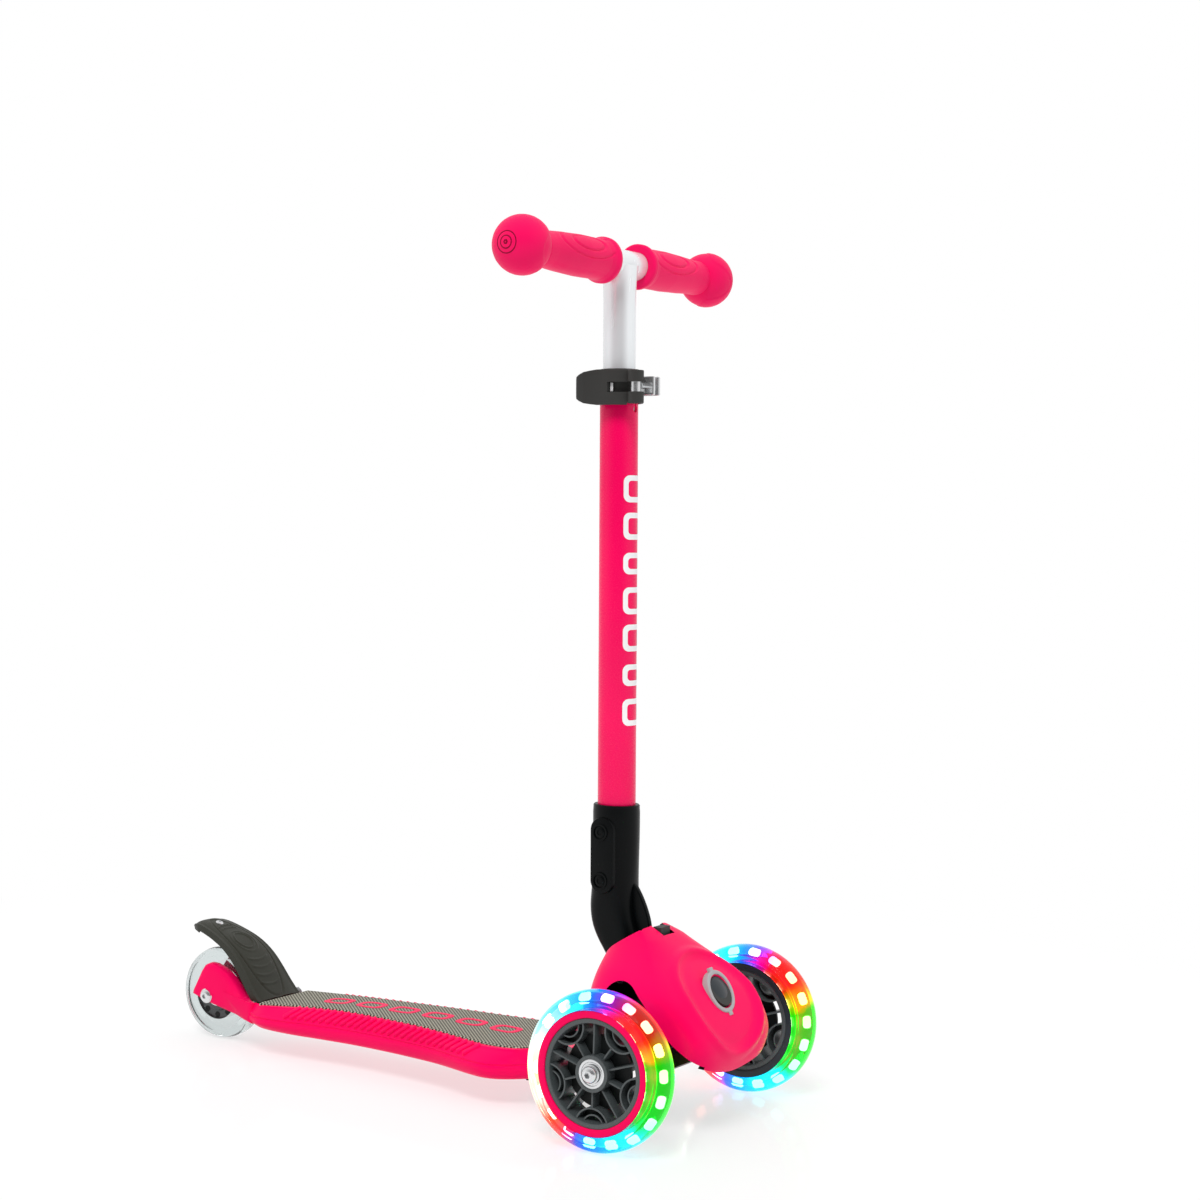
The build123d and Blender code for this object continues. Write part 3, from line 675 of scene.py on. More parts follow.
def trimPiece(side, centre, sign):
    # the red ring fills the outer face, a smoked one the inner face
    w = frontWheel
    half = w["tyreHalf"] - 0.5
    rings = []
    for low, high in ((-2.0, half), (-half, -2.0)):
        profile = ringProfile(low, high, w["hubRadius"], w["rimRadius"] + 0.1, 0.9, 3)
        rings.append(lathe(profile, centre, (sign, 0, 0), 128))
    build, inner = rings
    finishPiece(f"{side}_inner_ring", meshFrom(inner, "innerRing"), "buttonDark", f"{side}_wheel")
    for angle in (w["keyAngle"], w["keyAngle"] + pi):  # two keys that lock the ring in the tyre
        face = sign * (half - w["keySunk"]) / 1000
        low = (w["rimRadius"] - w["keySunk"]) / 1000
        box = bevelBox((face - 0.001, -w["keyLength"] / 2000, low),
                       (face + 0.001, w["keyLength"] / 2000, low + w["keyHigh"] / 1000), 0.0006)
        bmesh.ops.transform(box, matrix=Matrix.Translation(centre) @ Matrix.Rotation(angle, 4, "X"),
                            verts=box.verts)
        joinBuilds(build, box)
    finishPiece(f"{side}_trim", meshFrom(build, "trim"), "trimRed", f"{side}_wheel",
                (f"{side}_trim_ring",))


def arcRows(radius, wall, half, spread, steps=28):
    rows = []
    for step in range(steps + 1):
        turn = radians(-spread + 2 * spread * step / steps)
        rows.append([
            Vector((x, sin(turn) * r / 1000, (frontWheel["arcCentre"] - cos(turn) * r) / 1000))
            for x, r in ((-half, radius), (half, radius), (half, radius + wall), (-half, radius + wall))
        ])
    return rows


def hubPieces(side, centre):
    w = frontWheel
    half = w["tyreHalf"] - 1.3
    rimProfile = roundProfile([(-half, w["webOut"] + 0.8), (-half, w["hubRadius"] + 0.05),
                               (half, w["hubRadius"] + 0.05), (half, w["webOut"] + 0.8),
                               (2.0, w["webOut"] - 0.6), (-2.0, w["webOut"] - 0.6)], 0.9, 3)
    build = lathe(rimProfile, centre, (1, 0, 0), 112)
    coreHalf = w["tyreHalf"] - 0.3
    core = roundProfile([(-coreHalf, 11.2), (-coreHalf, w["coreRadius"]), (coreHalf, w["coreRadius"]),
                         (coreHalf, 11.2), (coreHalf - 1.0, 10.2), (-coreHalf + 1.0, 10.2)], 0.6, 3)
    joinBuilds(build, lathe(core, centre, (1, 0, 0), 64))
    finishPiece(f"{side}_hub_frame", meshFrom(build, "hubFrame"), "hubGrey", f"{side}_wheel",
                (f"{side}_hub",))
    wide = w["spokeWide"] / 2000
    deep = (half - 1.4) / 1000
    between = pi / w["spokes"]
    spoke = bevelBox((-deep, -wide, 0.0132), (deep, wide, w["spokeReach"] / 1000), 0.0006)
    short = bevelBox((-deep, -wide, 0.0132), (deep, wide, w["shortReach"] / 1000), 0.0006)
    arcs = bmesh.new()
    addRows(arcs, arcRows(w["arcRadius"], w["arcWall"], deep, 104))
    addRows(arcs, arcRows(w["arcRadius"] - 5.2, 1.1, deep * 0.8, 96))
    webs = bmesh.new()  # thin dark web between the two arcs of each pair: partly the real web, partly painted shade of the through-holes behind it
    addRows(webs, arcRows(w["arcRadius"] - 5.0, 5.6, 0.0012, 100))
    for label, build, start, finish in (("spokes", spoke, 0.0, "hubGrey"),
                                        ("short_spokes", short, between, "hubGrey"),
                                        ("spoke_arcs", arcs, between, "hubGrey"),
                                        ("arc_webs", webs, between, "hubDark")):
        mesh = ringMesh(label, build, w["spokes"], start, centre, finish)
        finishPiece(f"{side}_{label}", mesh, finish, f"{side}_wheel")
    # dark disc between the straight spokes: partly the real web, partly painted shade of the holes behind it
    disc = lathe(ringProfile(-1.1, 1.1, 12.5, 27.5), centre, (1, 0, 0), 80)
    finishPiece(f"{side}_inner_web", meshFrom(disc, "innerWebShade"), "hubDark", f"{side}_wheel")


# half width, inner and outer radius of a bearing's rings
bearingRings = [(3.4, 8.9, 10.95), (3.4, 4.05, 6.2), (2.9, 6.2, 8.9)]


def bearingPieces(side, body, centre, offset):
    build = bmesh.new()
    for along in (-offset, offset):
        for half, inner, outer in bearingRings:
            ring = ringProfile(-half, half, inner, outer, 0.35)
            joinBuilds(build, lathe(ring, centre + Vector((along / 1000, 0, 0)), (1, 0, 0), 48))
    finishPiece(f"{side}_bearing_rings", meshFrom(build, "bearing"), "boltSteel", body,
                (f"{side}_bearings",))


def hexSocketHead(build, centre, axis, radius, high, socket):
    # a domed screw head with a hexagonal socket, standing out along the axis
    axis = Vector(axis).normalized()
    helper = Vector((0, 0, 1))
    u = axis.cross(helper).normalized()
    v = axis.cross(u)
    rows = []
    steps = 48
    for along, r in ((0, radius), (high * 0.35, radius), (high * 0.7, radius * 0.88),
                     (high * 0.95, radius * 0.66)):
        rows.append([
            centre + axis * along / 1000
            + (u * cos(2 * pi * k / steps) + v * sin(2 * pi * k / steps)) * r / 1000
            for k in range(steps)
        ])
    for along, r in ((high, socket * 1.06), (high, socket), (high * 0.35, socket)):
        row = []
        for k in range(steps):
            angle = 2 * pi * k / steps
            wedge = (angle % (pi / 3)) - pi / 6
            reach = r * cos(pi / 6) / cos(wedge)
            row.append(centre + axis * along / 1000 + (u * cos(angle) + v * sin(angle)) * reach / 1000)
        rows.append(row)
    addRows(build, rows)


def boltEnd(build, look, base, axis):
    # a washer on a face and a domed head on the washer
    thick = look["washerThick"]
    ring = ringProfile(0, thick, look["shank"], look["washer"], look["rounding"])
    joinBuilds(build, lathe(ring, base, axis, look["steps"]))
    seat = base + Vector(axis) * (thick / 1000)
    hexSocketHead(build, seat, axis, look["head"], look["headHigh"], look["socket"])


frontBolt = {
    "inward": 46.0, "outward": 13.6, "shank": 4.0, "washer": 7.4, "washerThick": 0.8, "head": 6.5,
    "headHigh": 4.2, "socket": 2.6, "rounding": 0.3, "steps": 48,
}


def axleBolt(side, centre, sign):
    look = frontBolt
    build = rod(-look["inward"], look["outward"], look["shank"], centre, (sign, 0, 0), 32)
    base = centre + Vector((sign * (frontWheel["tyreHalf"] + 0.15) / 1000, 0, 0))
    boltEnd(build, look, base, (sign, 0, 0))
    finishPiece(f"{side}_wheel_bolt", meshFrom(build, "wheelBolt"), "boltSteel", f"{side}_steering",
                (f"{side}_axle_bolt",))


for side, sign in (("left", 1), ("right", -1)):
    centre = Vector((sign * wheelX, axleY, wheelHeight))
    tyrePiece(side, centre)
    lampPieces(side, centre)
    trimPiece(side, centre, sign)
    hubPieces(side, centre)
    bearingPieces(side, f"{side}_wheel", centre, 9.0)
    axleBolt(side, centre, sign)
print("front wheels made")

# rear wheel

rearWheel = {
    "radius": 39.9, "half": 12.0, "core": 24.5, "holes": 10, "holeRadius": 2.6, "holeRing": 19.0,
    "bearingOffset": 8.4,
}
rearBolt = {
    "reach": 26.0, "seat": 24.3, "shank": 4.0, "washer": 6.4, "washerThick": 0.7, "head": 5.6,
    "headHigh": 2.5, "socket": 2.4, "rounding": 0.25, "steps": 40,
}


def rearWheelPieces():
    w = rearWheel
    centre = Vector((0, rearY, rearHeight))
    build = lathe(wheelProfile(w["half"], w["radius"], w["core"] - 2.0, 7.0), centre, (1, 0, 0), 128)
    finishPiece("rear_tyre_clear", meshFrom(build, "rearTyre"), "rearClear", "rear_wheel",
                ("rear_tyre",))
    half = w["half"] - 1.2
    profile = [(-half, 11.0), (-half, 14.5), (-half + 1.8, 15.5), (-half + 1.8, 21.6), (-half, 22.4),
               (half, 22.4), (half - 1.8, 21.6), (half - 1.8, 15.5), (half, 14.5), (half, 11.0)]
    build = lathe(profile, centre, (1, 0, 0), 96)
    finishPiece("rear_hub_core", meshFrom(build, "rearHub"), "hubGrey", "rear_wheel",
                ("rear_hub",))
    # dark discs on the hub's sunk face: painted shade standing for the holes through the hub
    seedBuild = bmesh.new()
    for face in (-1, 1):
        joinBuilds(seedBuild, rod(face * (half - 2.1), face * (half - 1.5), w["holeRadius"],
                                  Vector((0, 0, w["holeRing"] / 1000)), (1, 0, 0), 20))
    mesh = ringMesh("rearHoles", seedBuild, w["holes"], 0.0, centre, "hubDark")
    finishPiece("rear_hub_recesses", mesh, "hubDark", "rear_wheel")
    bearingPieces("rear", "rear_wheel", centre, w["bearingOffset"])
    bolt = rod(-rearBolt["reach"], rearBolt["reach"], rearBolt["shank"], centre, (1, 0, 0), 32)
    for sign in (-1, 1):
        boltEnd(bolt, rearBolt, centre + Vector((sign * rearBolt["seat"] / 1000, 0, 0)), (sign, 0, 0))
    finishPiece("rear_bolt", meshFrom(bolt, "rearBolt"), "boltSteel", "deck_frame",
                ("rear_axle_bolt", "rear_axle_nut"))


rearWheelPieces()
print("rear wheel made")

# front shield

shieldLook = {
    "low": 45.2, "high": 153.4, "wall": 2.6, "faceWall": 2.2, "rows": 120, "columns": 200,
    "dishCentre": (0, -38.5, 101), "dishWide": 50, "dishHigh": 46, "dishDeep": 2.6, "ridgeHigh": 1.9,
    "normal": (0, -0.885, 0.466), "middle": 20.0, "rearPower": 2.5,
}

# height above the floor with half the width, front face, squareness and rear face there
shieldWidth = [(45, 50), (50, 54.5), (55, 57.5), (60, 60), (66, 62), (75, 63.2), (88, 63.5), (100, 63.2),
               (108, 61.5), (116, 57.5), (123, 51.5), (131, 42), (138, 33.5), (145, 25.5), (151, 18.5),
               (154, 16)]
shieldFront = [(45, -49.5), (50, -52.0), (55, -53.8), (61, -54.8), (68, -55.0), (76, -53.6), (84, -50.6),
               (92, -46.6), (100, -41.8), (106, -37.8), (113, -31.0), (122, -20.8), (131, -9), (138, 0.5),
               (145, 11), (151, 21.5), (154, 27)]
shieldSquare = [(45, 5.5), (60, 6.5), (75, 7.5), (92, 6.6), (100, 5.6), (108, 4.6), (116, 3.8), (124, 3.2),
                (138, 2.7), (154, 2.4)]
shieldRear = [(45, 60), (60, 64), (80, 64), (100, 62), (122, 57), (140, 53), (154, 50)]

# lower edge over a wheel as (y, z) and below the front face as (x, z)
archCurve = [(-60, 52), (-52, 57.2), (-46.6, 61.2), (-38.9, 67.3), (-26.5, 77.3), (-15.7, 88.8), (-7.5, 98.3),
             (0.5, 106.5), (8.5, 113.6), (17, 116.2), (25, 113.8), (31, 106), (35, 92), (38.5, 70), (40, 52)]
bibCurve = [(-50, 57.2), (-47, 55.7), (-36, 52.2), (-22, 49.4), (-9, 47.7), (0, 47.2), (9, 47.7), (22, 49.4),
            (36, 52.2), (47, 55.7), (50, 57.2)]


def shieldPoint(u, z, inset):
    wide = curveValue(shieldWidth, z) - inset
    front = curveValue(shieldFront, z) + inset
    rear = curveValue(shieldRear, z) - inset
    angle = 2 * pi * u
    c, s = cos(angle), sin(angle)
    power = 2 / (curveValue(shieldSquare, z) if c >= 0 else shieldLook["rearPower"])
    reach = (abs(c) ** (2 / power) + abs(s) ** (2 / power)) ** (-power / 2)
    x = wide * s * reach
    middle = max(shieldLook["middle"], front + 13)
    y = middle - (middle - front if c >= 0 else rear - middle) * c * reach
    return Vector((x, y, z))


def dishOffset(point):
    # how deep the face is sunk round the button, less the ridge round the dish
    look = shieldLook
    if point[1] > 8:
        return 0.0
    away = Vector(point) - Vector(look["dishCentre"])
    down = Vector((0, -look["normal"][2], look["normal"][1]))
    reach = hypot(away.x / look["dishWide"], away.dot(down) / look["dishHigh"])
    edge = min(1.0, max(0.0, (reach - 0.74) / 0.20))
    ridge = max(0.0, 1 - abs(reach - 0.97) / 0.11)
    deep = look["dishDeep"] * (1 - edge * edge * (3 - 2 * edge))
    return deep - look["ridgeHigh"] * ridge * ridge * (3 - 2 * ridge)


def shieldMesh():
    look = shieldLook
    build = bmesh.new()
    inward = -Vector(look["normal"])
    outer, inner = [], []
    for row in range(look["rows"] + 1):
        z = look["low"] + (look["high"] - look["low"]) * row / look["rows"]
        outer.append([])
        inner.append([])
        for column in range(look["columns"]):
            u = column / look["columns"]
            p = shieldPoint(u, z, 0)
            q = shieldPoint(u, z, look["wall"]) + inward * look["faceWall"] * max(0, cos(2 * pi * u))
            outer[-1].append(build.verts.new(at(*(p + inward * dishOffset(p)))))
            inner[-1].append(build.verts.new(at(*q)))
    # the inner wall takes the second finish, black: painted shade inside the red shell
    for grid, flip, index in ((outer, False, 0), (inner, True, 1)):
        for low, high in zip(grid, grid[1:]):
            addBand(build, low, high, flip, index)
    addBand(build, outer[0], inner[0], True)
    addBand(build, outer[-1], inner[-1])
    bmesh.ops.recalc_face_normals(build, faces=build.faces)
    mesh = meshFrom(build, "shield", False)
    mesh.materials.append(materials["shellRed"])
    mesh.materials.append(materials["holderBlack"])
    arch = [tuple(p) for p in smoothLine(archCurve, 90)] + [(40, 20), (-60, 20)]
    bib = [tuple(p) for p in smoothLine(bibCurve, 60)]
    bib += [(70, 57.4), (70, 20), (-70, 20), (-70, 57.4)]
    # openings: wheels, below the face, below the rear, behind, round the holder, above and for the button
    cutters = [
        prismX(arch, 48, 80),
        prismX(arch, -80, -48),
        prismY(bib, -80, -30),
        prismX([(-31, 20), (90, 20), (90, 57.4), (-31, 57.4)], -80, 80),
        prismX([(22.2, 150.6), (44, 136), (60, 122), (80, 122), (80, 170), (22.2, 170)], -60, 60),
        prismX([(24, 90), (24, 170), (90, 170), (90, 78), (50, 78)], -20.4, 20.4),
        prismX([(10.5, 138), (10.5, 170), (30, 170), (30, 130)], -8.4, 8.4),
        meshFrom(rod(-20, 30, 13.9, buttonCentre, buttonNormal, 64), "hole"),
    ]
    for cutter in cutters:  # cut edges take the black finish like the inner wall: painted shade on the red shell's rims
        cutter.materials.append(materials["shellRed"])
        cutter.materials.append(materials["holderBlack"])
        for polygon in cutter.polygons:
            polygon.material_index = 1
    return booleanMesh(mesh, cutters, "shield")


buttonNormal = Vector(shieldLook["normal"]).normalized()
buttonCentre = at(0, -35.4, 105.4)
finishPiece("shield_cover", shieldMesh(), "shellRed", "deck_frame", ("front_shield",), 42)

# (distance along the button's axis, radius); the dome swells out from its last point
buttonLook = {
    "seat": [(-4.5, 12.6), (-4.5, 15), (0.9, 15), (0.9, 13.0), (-0.6, 12.6)],
    "bezel": [(-3.5, 13.8), (-3.5, 17.2), (1.6, 17.2), (2.2, 16.5), (2.0, 13.8)],
    "cap": [(-7, 12.2), (-0.6, 12.2), (0.6, 11.8)], "domeHigh": 2.2, "tabLean": 0.10, "tabReach": 16.6,
}


def buttonPieces():
    look = buttonLook
    seat = lathe(roundProfile(look["seat"], 0.3, 2), buttonCentre, buttonNormal, 80)
    finishPiece("button_seat", meshFrom(seat, "buttonSeat"), "shellRed", "deck_frame")
    bezel = lathe(roundProfile(look["bezel"], 0.5, 3), buttonCentre, buttonNormal, 96)
    up = buttonNormal.cross(Vector((1, 0, 0))).normalized()
    lean = Matrix.Rotation(look["tabLean"], 3, buttonNormal)
    for sign in (1, -1):  # small tabs above and below
        tab = bevelBox((-0.0026, -0.0012, -0.001), (0.0026, 0.0032, 0.0019), 0.0005)
        turn = Matrix((Vector((1, 0, 0)), up * sign, buttonNormal)).transposed().to_4x4()
        spot = buttonCentre + lean @ (up * (sign * look["tabReach"] / 1000))
        bmesh.ops.transform(tab, matrix=Matrix.Translation(spot) @ turn, verts=tab.verts)
        joinBuilds(bezel, tab)
    finishPiece("bezel_ring", meshFrom(bezel, "bezel"), "bezelGrey", "deck_frame",
                ("button_bezel",))
    rim, radius = look["cap"][-1]
    dome = [(rim + look["domeHigh"] * (1 - (1 - t) ** 2), radius * (1 - t) + 0.02)
            for t in (0.2, 0.4, 0.6, 0.8, 1.0)]
    cap = lathe(look["cap"] + dome, buttonCentre, buttonNormal, 64, False)
    finishPiece("button_cap", meshFrom(cap, "buttonCap"), "buttonDark", "lock_button")


buttonPieces()
print("shield made")

# stem holder

holderLook = {
    "boreRadius": 15.05, "hingeRadius": 4.05, "finHalf": 2.6, "padRadius": 10.6, "padHalf": 19.5,
    "padBack": 1.6, "padDown": 37.8, "screwX": -20.1,
}

# height above the floor with the front, rear, half width and squareness of the bend there
holderFront = [(97, 40), (99, 32), (104, 27.3), (112, 25.5), (120, 26.5), (128, 29.5), (140, 35.5),
               (151.8, 40.0), (160.9, 42.0), (169.4, 42.6), (178.6, 42.6), (190, 42.4), (215, 42.4),
               (240, 43.1)]
finEdge = [(118, 26.2), (128, 25.5), (140, 25.8), (151.8, 27.5), (160.9, 30.5), (169.4, 34.5), (176, 38.4),
           (182, 43)]
holderRear = [(97, 41), (99, 47), (104, 52.5), (112, 56.5), (123.8, 62.5), (136.2, 71), (146.7, 76),
              (160, 78.5), (175, 78.7), (190, 78.9), (215, 79.5), (240, 80.1)]
holderWide = [(97, 12.5), (104, 14), (128, 14.2), (145, 15), (165, 16.8), (185, 18.5), (240, 18.5)]
holderPower = [(97, 4.0), (150, 3.2), (185, 2.0), (240, 2.0)]


def addHolder():
    look = holderLook
    build = bmesh.new()
    rows = []
    zs = [97.2, 98, 99.5, 102, 105] + [109 + 4.1 * k for k in range(32)] + [239.5, 241.2, 242.0]
    for z in zs:
        front, rear = curveValue(holderFront, min(z, 240)), curveValue(holderRear, min(z, 240))
        wide = curveValue(holderWide, min(z, 240))
        power = 2 / curveValue(holderPower, z)
        shrink = 1.0 if z < 239 else 1 - (0.9 if z > 241.5 else 0.25) / 18.5
        middle, half = (front + rear) / 2, (rear - front) / 2 * shrink
        row = []
        for k in range(64):
            c, s = cos(2 * pi * k / 64), sin(2 * pi * k / 64)
            row.append(at(wide * shrink * signedPower(c, power), middle + half * signedPower(s, power), z))
        rows.append(row)
    addRows(build, rows)
    mesh = meshFrom(build, "holder")
    bore = rod(-78, 20, look["boreRadius"], stemFoot, stemLine, 64)
    hinge = rod(-30, 30, look["hingeRadius"], foldPoint, (1, 0, 0), 32)
    mesh = booleanMesh(mesh, [meshFrom(bore, "bore"), meshFrom(hinge, "hinge")], "holder")
    finishPiece("elbow_holder", mesh, "holderBlack", "stem", ("stem_holder",), 38)


def addHolderFin():
    # thin web in front of the bend
    fin = bmesh.new()
    rows = []
    half = holderLook["finHalf"]
    for k in range(33):
        z = 118 + 64 * k / 32
        front = curveValue(finEdge, z)
        back = curveValue(holderFront, z) + 6
        rows.append([at(x, y, z) for x, y in ((-half, back), (-half, front + 1.4), (-half * 0.7, front + 0.4),
                                              (0, front), (half * 0.7, front + 0.4), (half, front + 1.4),
                                              (half, back))])
    addRows(fin, rows)
    finishPiece("holder_fin", meshFrom(fin, "fin"), "holderBlack", "stem")


def addHolderPad():
    # long rounded pad under the two screws
    look = holderLook
    pad = bmesh.new()
    rows = []
    for depth, grow in ((-14.0, 0.0), (-19.0, 0.0), (-19.8, -0.5), (-20.1, -1.3)):
        row = []
        for k in range(48):
            angle = 2 * pi * k / 48
            reach = look["padRadius"] + grow
            cy, cz = cos(angle) * reach, sin(angle) * reach
            cz += look["padHalf"] if sin(angle) >= 0 else -look["padHalf"]
            row.append(upStem(depth, cy + look["padBack"], cz - look["padDown"]))
        rows.append(row)
    addRows(pad, rows)
    finishPiece("holder_pad", meshFrom(pad, "pad"), "holderBlack", "stem")


def addHolderScrews():
    for name, y, z in (("upper", 64.0, 221.0), ("lower", 63.0, 183.0)):
        build = bmesh.new()
        spot = at(holderLook["screwX"], y, z)
        ring = lathe(ringProfile(0, 0.9, 5.2, 6.8, 0.3), spot, (-1, 0, 0), 40)
        finishPiece(f"{name}_screw_seat", meshFrom(ring, "seat"), "holderBlack", "stem")
        hexSocketHead(build, spot, (-1, 0, 0), 4.3, 0.9, 2.3)
        finishPiece(f"{name}_socket_screw", meshFrom(build, "socketScrew"), "holderBlack", "stem",
                    (f"{name}_holder_screw",))


addHolder()
addHolderFin()
addHolderPad()
addHolderScrews()

# tubes and their graphic

tubeLook = {
    "lowerRadius": 15.0, "upperRadius": 12.7, "crossRadius": 11.1, "barHeight": 423.0, "barHalf": 128.0,
    "slitLow": 310.5, "eyeRadius": 2.9,
}


def tubePieces():
    t = tubeLook
    lower = lathe(roundProfile([(-70, 13.0), (-70, t["lowerRadius"]), (340, t["lowerRadius"]), (340, 12.8)],
                               0.5, 2), stemFoot, stemLine, 96)
    eye = rod(0, 30, t["eyeRadius"], upStem(0, 0, t["slitLow"]), (0, -1, 0), 32)
    slit = bevelBox((-0.0012, -0.03, 0), (0.0012, 0, 0.04), 0.0001, 1)
    placeOnStem(slit, upStem(0, 0, t["slitLow"]))
    mesh = booleanMesh(meshFrom(lower, "lowerTube"), [meshFrom(eye, "eye"), meshFrom(slit, "slit")],
                       "lowerTube")
    finishPiece("red_tube", mesh, "tubeRed", "stem", ("lower_tube",))
    upper = lathe(ringProfile(-4, t["barHeight"] - 4, 11.2, t["upperRadius"]), stemFoot, stemLine, 80)
    finishPiece("alloy_tube", meshFrom(upper, "alloyTube"), "barAlloy", "handlebar",
                ("upper_tube",))
    top, half = upStem(0, 0, t["barHeight"]), t["barHalf"]
    bar = lathe(ringProfile(-half, half, 9.6, t["crossRadius"]), top, (1, 0, 0), 72)
    joint = lathe([(-36, 12.72), (-24, 12.85), (-15, 13.2), (-8, 13.9), (-2, 14.6), (-2, 12.0), (-36, 12.0)],
                  top, stemLine, 64)
    finishPiece("alloy_bar", meshFrom(bar, "alloyBar"), "barAlloy", "handlebar",
                ("cross_tube",))
    finishPiece("bar_weld", meshFrom(joint, "barWeld"), "barAlloy", "handlebar")


markLook = {
    "first": 74.0, "count": 7, "pitch": 29.0, "wide": 23.0, "high": 21.0, "line": 4.2, "radius": 15.08,
    "corner": 5.2,
}


def markLoop(wide, high, corner, z):
    # a rounded rectangle laid on the front of the tube
    radius = markLook["radius"]
    flat = []
    for cx, cz, start in ((1, 1, 0), (-1, 1, 90), (-1, -1, 180), (1, -1, 270)):
        for step in range(6):
            a = radians(start + 18 * step)
            across = (wide / 2 - corner) * cx + cos(a) * corner
            up = (high / 2 - corner) * cz + sin(a) * corner
            flat.append(Vector((across, up)))
    loop = []
    for here, after in zip(flat, flat[1:] + flat[:1]):
        parts = 10 if (after - here).length > 3.0 else 1
        for part in range(parts):
            spot = here.lerp(after, part / parts)
            angle = spot.x / radius
            loop.append(upStem(sin(angle) * radius, -cos(angle) * radius, z + spot.y))
    return loop


def tubeGraphic():
    # plain framed shapes in a column, each a closed ring
    look = markLook
    build = bmesh.new()
    for index in range(look["count"]):
        z = look["first"] + look["pitch"] * index
        high = look["high"] * (1.0, 0.8, 1.0)[index % 3]
        loops = []
        for step in range(6):
            inset = look["line"] * step / 5
            corner = look["corner"] - inset * 0.6
            loops.append(markLoop(look["wide"] - 2 * inset, high - 2 * inset, corner, z))
        addRows(build, loops, False, False)
    finishPiece("tube_marks", meshFrom(build, "tubeMarks", False), "graphicWhite", "stem", (), 30)


tubePieces()
tubeGraphic()
print("stem made")

# clamp and lever

clampLook = {
    "low": 314.5, "high": 339.5, "radius": 19.0, "boltBack": -26.5, "boltRadius": 2.4, "barrelRadius": 3.95,
}
leverPivot = (-16.0, -24.5)


def stemPrism(outline, low, high, bevel=0.0):
    # closed outline in the stem's own frame, pulled up the stem, with rounded rims
    build = bmesh.new()
    bottom, top = [[build.verts.new(upStem(x, y, z)) for x, y in outline] for z in (low, high)]
    addBand(build, bottom, top)
    caps = [build.faces.new(tuple(reversed(bottom))), build.faces.new(top)]
    edges = {edge for face in caps for edge in face.edges}
    bmesh.ops.recalc_face_normals(build, faces=build.faces)
    if bevel:
        bmesh.ops.bevel(build, geom=list(edges), offset=bevel / 1000, segments=3, affect="EDGES")
    return build


def clampPieces():
    c = clampLook
    collar = lathe(roundProfile([(c["low"], 15.1), (c["low"], c["radius"]), (c["high"], c["radius"]),
                                 (c["high"] + 1.5, 15.0), (c["high"] + 1.5, 12.85), (c["high"] - 1, 12.85),
                                 (c["high"] - 1, 15.1)], 0.7, 3), stemFoot, stemLine, 80)
    gap = stemPrism([(-1.9, -30), (1.9, -30), (1.9, -14), (-1.9, -14)], 300, 350)
    mesh = booleanMesh(meshFrom(collar, "collar"), [meshFrom(gap, "gap")], "collar")
    finishPiece("clamp_band", mesh, "leverBlack", "stem", ("clamp_collar",))
    build = bmesh.new()
    for sign in (-1, 1):
        outline = [(sign * 2.0, -17), (sign * 2.0, -33.2), (sign * 2.6, -34), (sign * 5.0, -34),
                   (sign * 5.6, -33.2), (sign * 5.6, -17)]
        joinBuilds(build, stemPrism(outline, c["low"] + 5.5, c["high"] - 5.0, 0.5))
    finishPiece("clamp_ear_plates", meshFrom(build, "ears"), "boltSteel", "stem", ("clamp_ears",))
    middle = (c["low"] + c["high"] + 0.5) / 2
    bolt = rod(-12.5, 10.4, c["boltRadius"], upStem(0, c["boltBack"], middle), (1, 0, 0), 32)
    finishPiece("clamp_cross_bolt", meshFrom(bolt, "crossBolt"), "boltSteel", "stem",
                ("clamp_bolt",))
    nut = bmesh.new()
    rows = []
    for along, r in ((5.7, 4.6), (6.1, 5.0), (9.6, 5.0), (10.0, 4.6)):
        rows.append([upStem(along, c["boltBack"] + cos(pi / 3 * k) * r, middle + sin(pi / 3 * k) * r)
                     for k in range(6)])
    addRows(nut, rows)
    finishPiece("clamp_hex_nut", meshFrom(nut, "hexNut"), "boltSteel", "stem", ("clamp_nut",), 25)
    pin = rod(c["low"] + 1, c["high"] - 1, c["barrelRadius"], upStem(*leverPivot, 0), stemLine, 40)
    finishPiece("clamp_barrel_pin", meshFrom(pin, "barrelPin"), "boltSteel", "stem",
                ("clamp_barrel",))


leverLook = {
    "low": 312.4, "high": 339.8, "bend": 22.7, "thick": 2.35, "slotHigh": 7.8, "slotEnd": -4.0,
    "grooveDeep": 1.0, "grooves": (5.0, 11.2, 15.6),
}


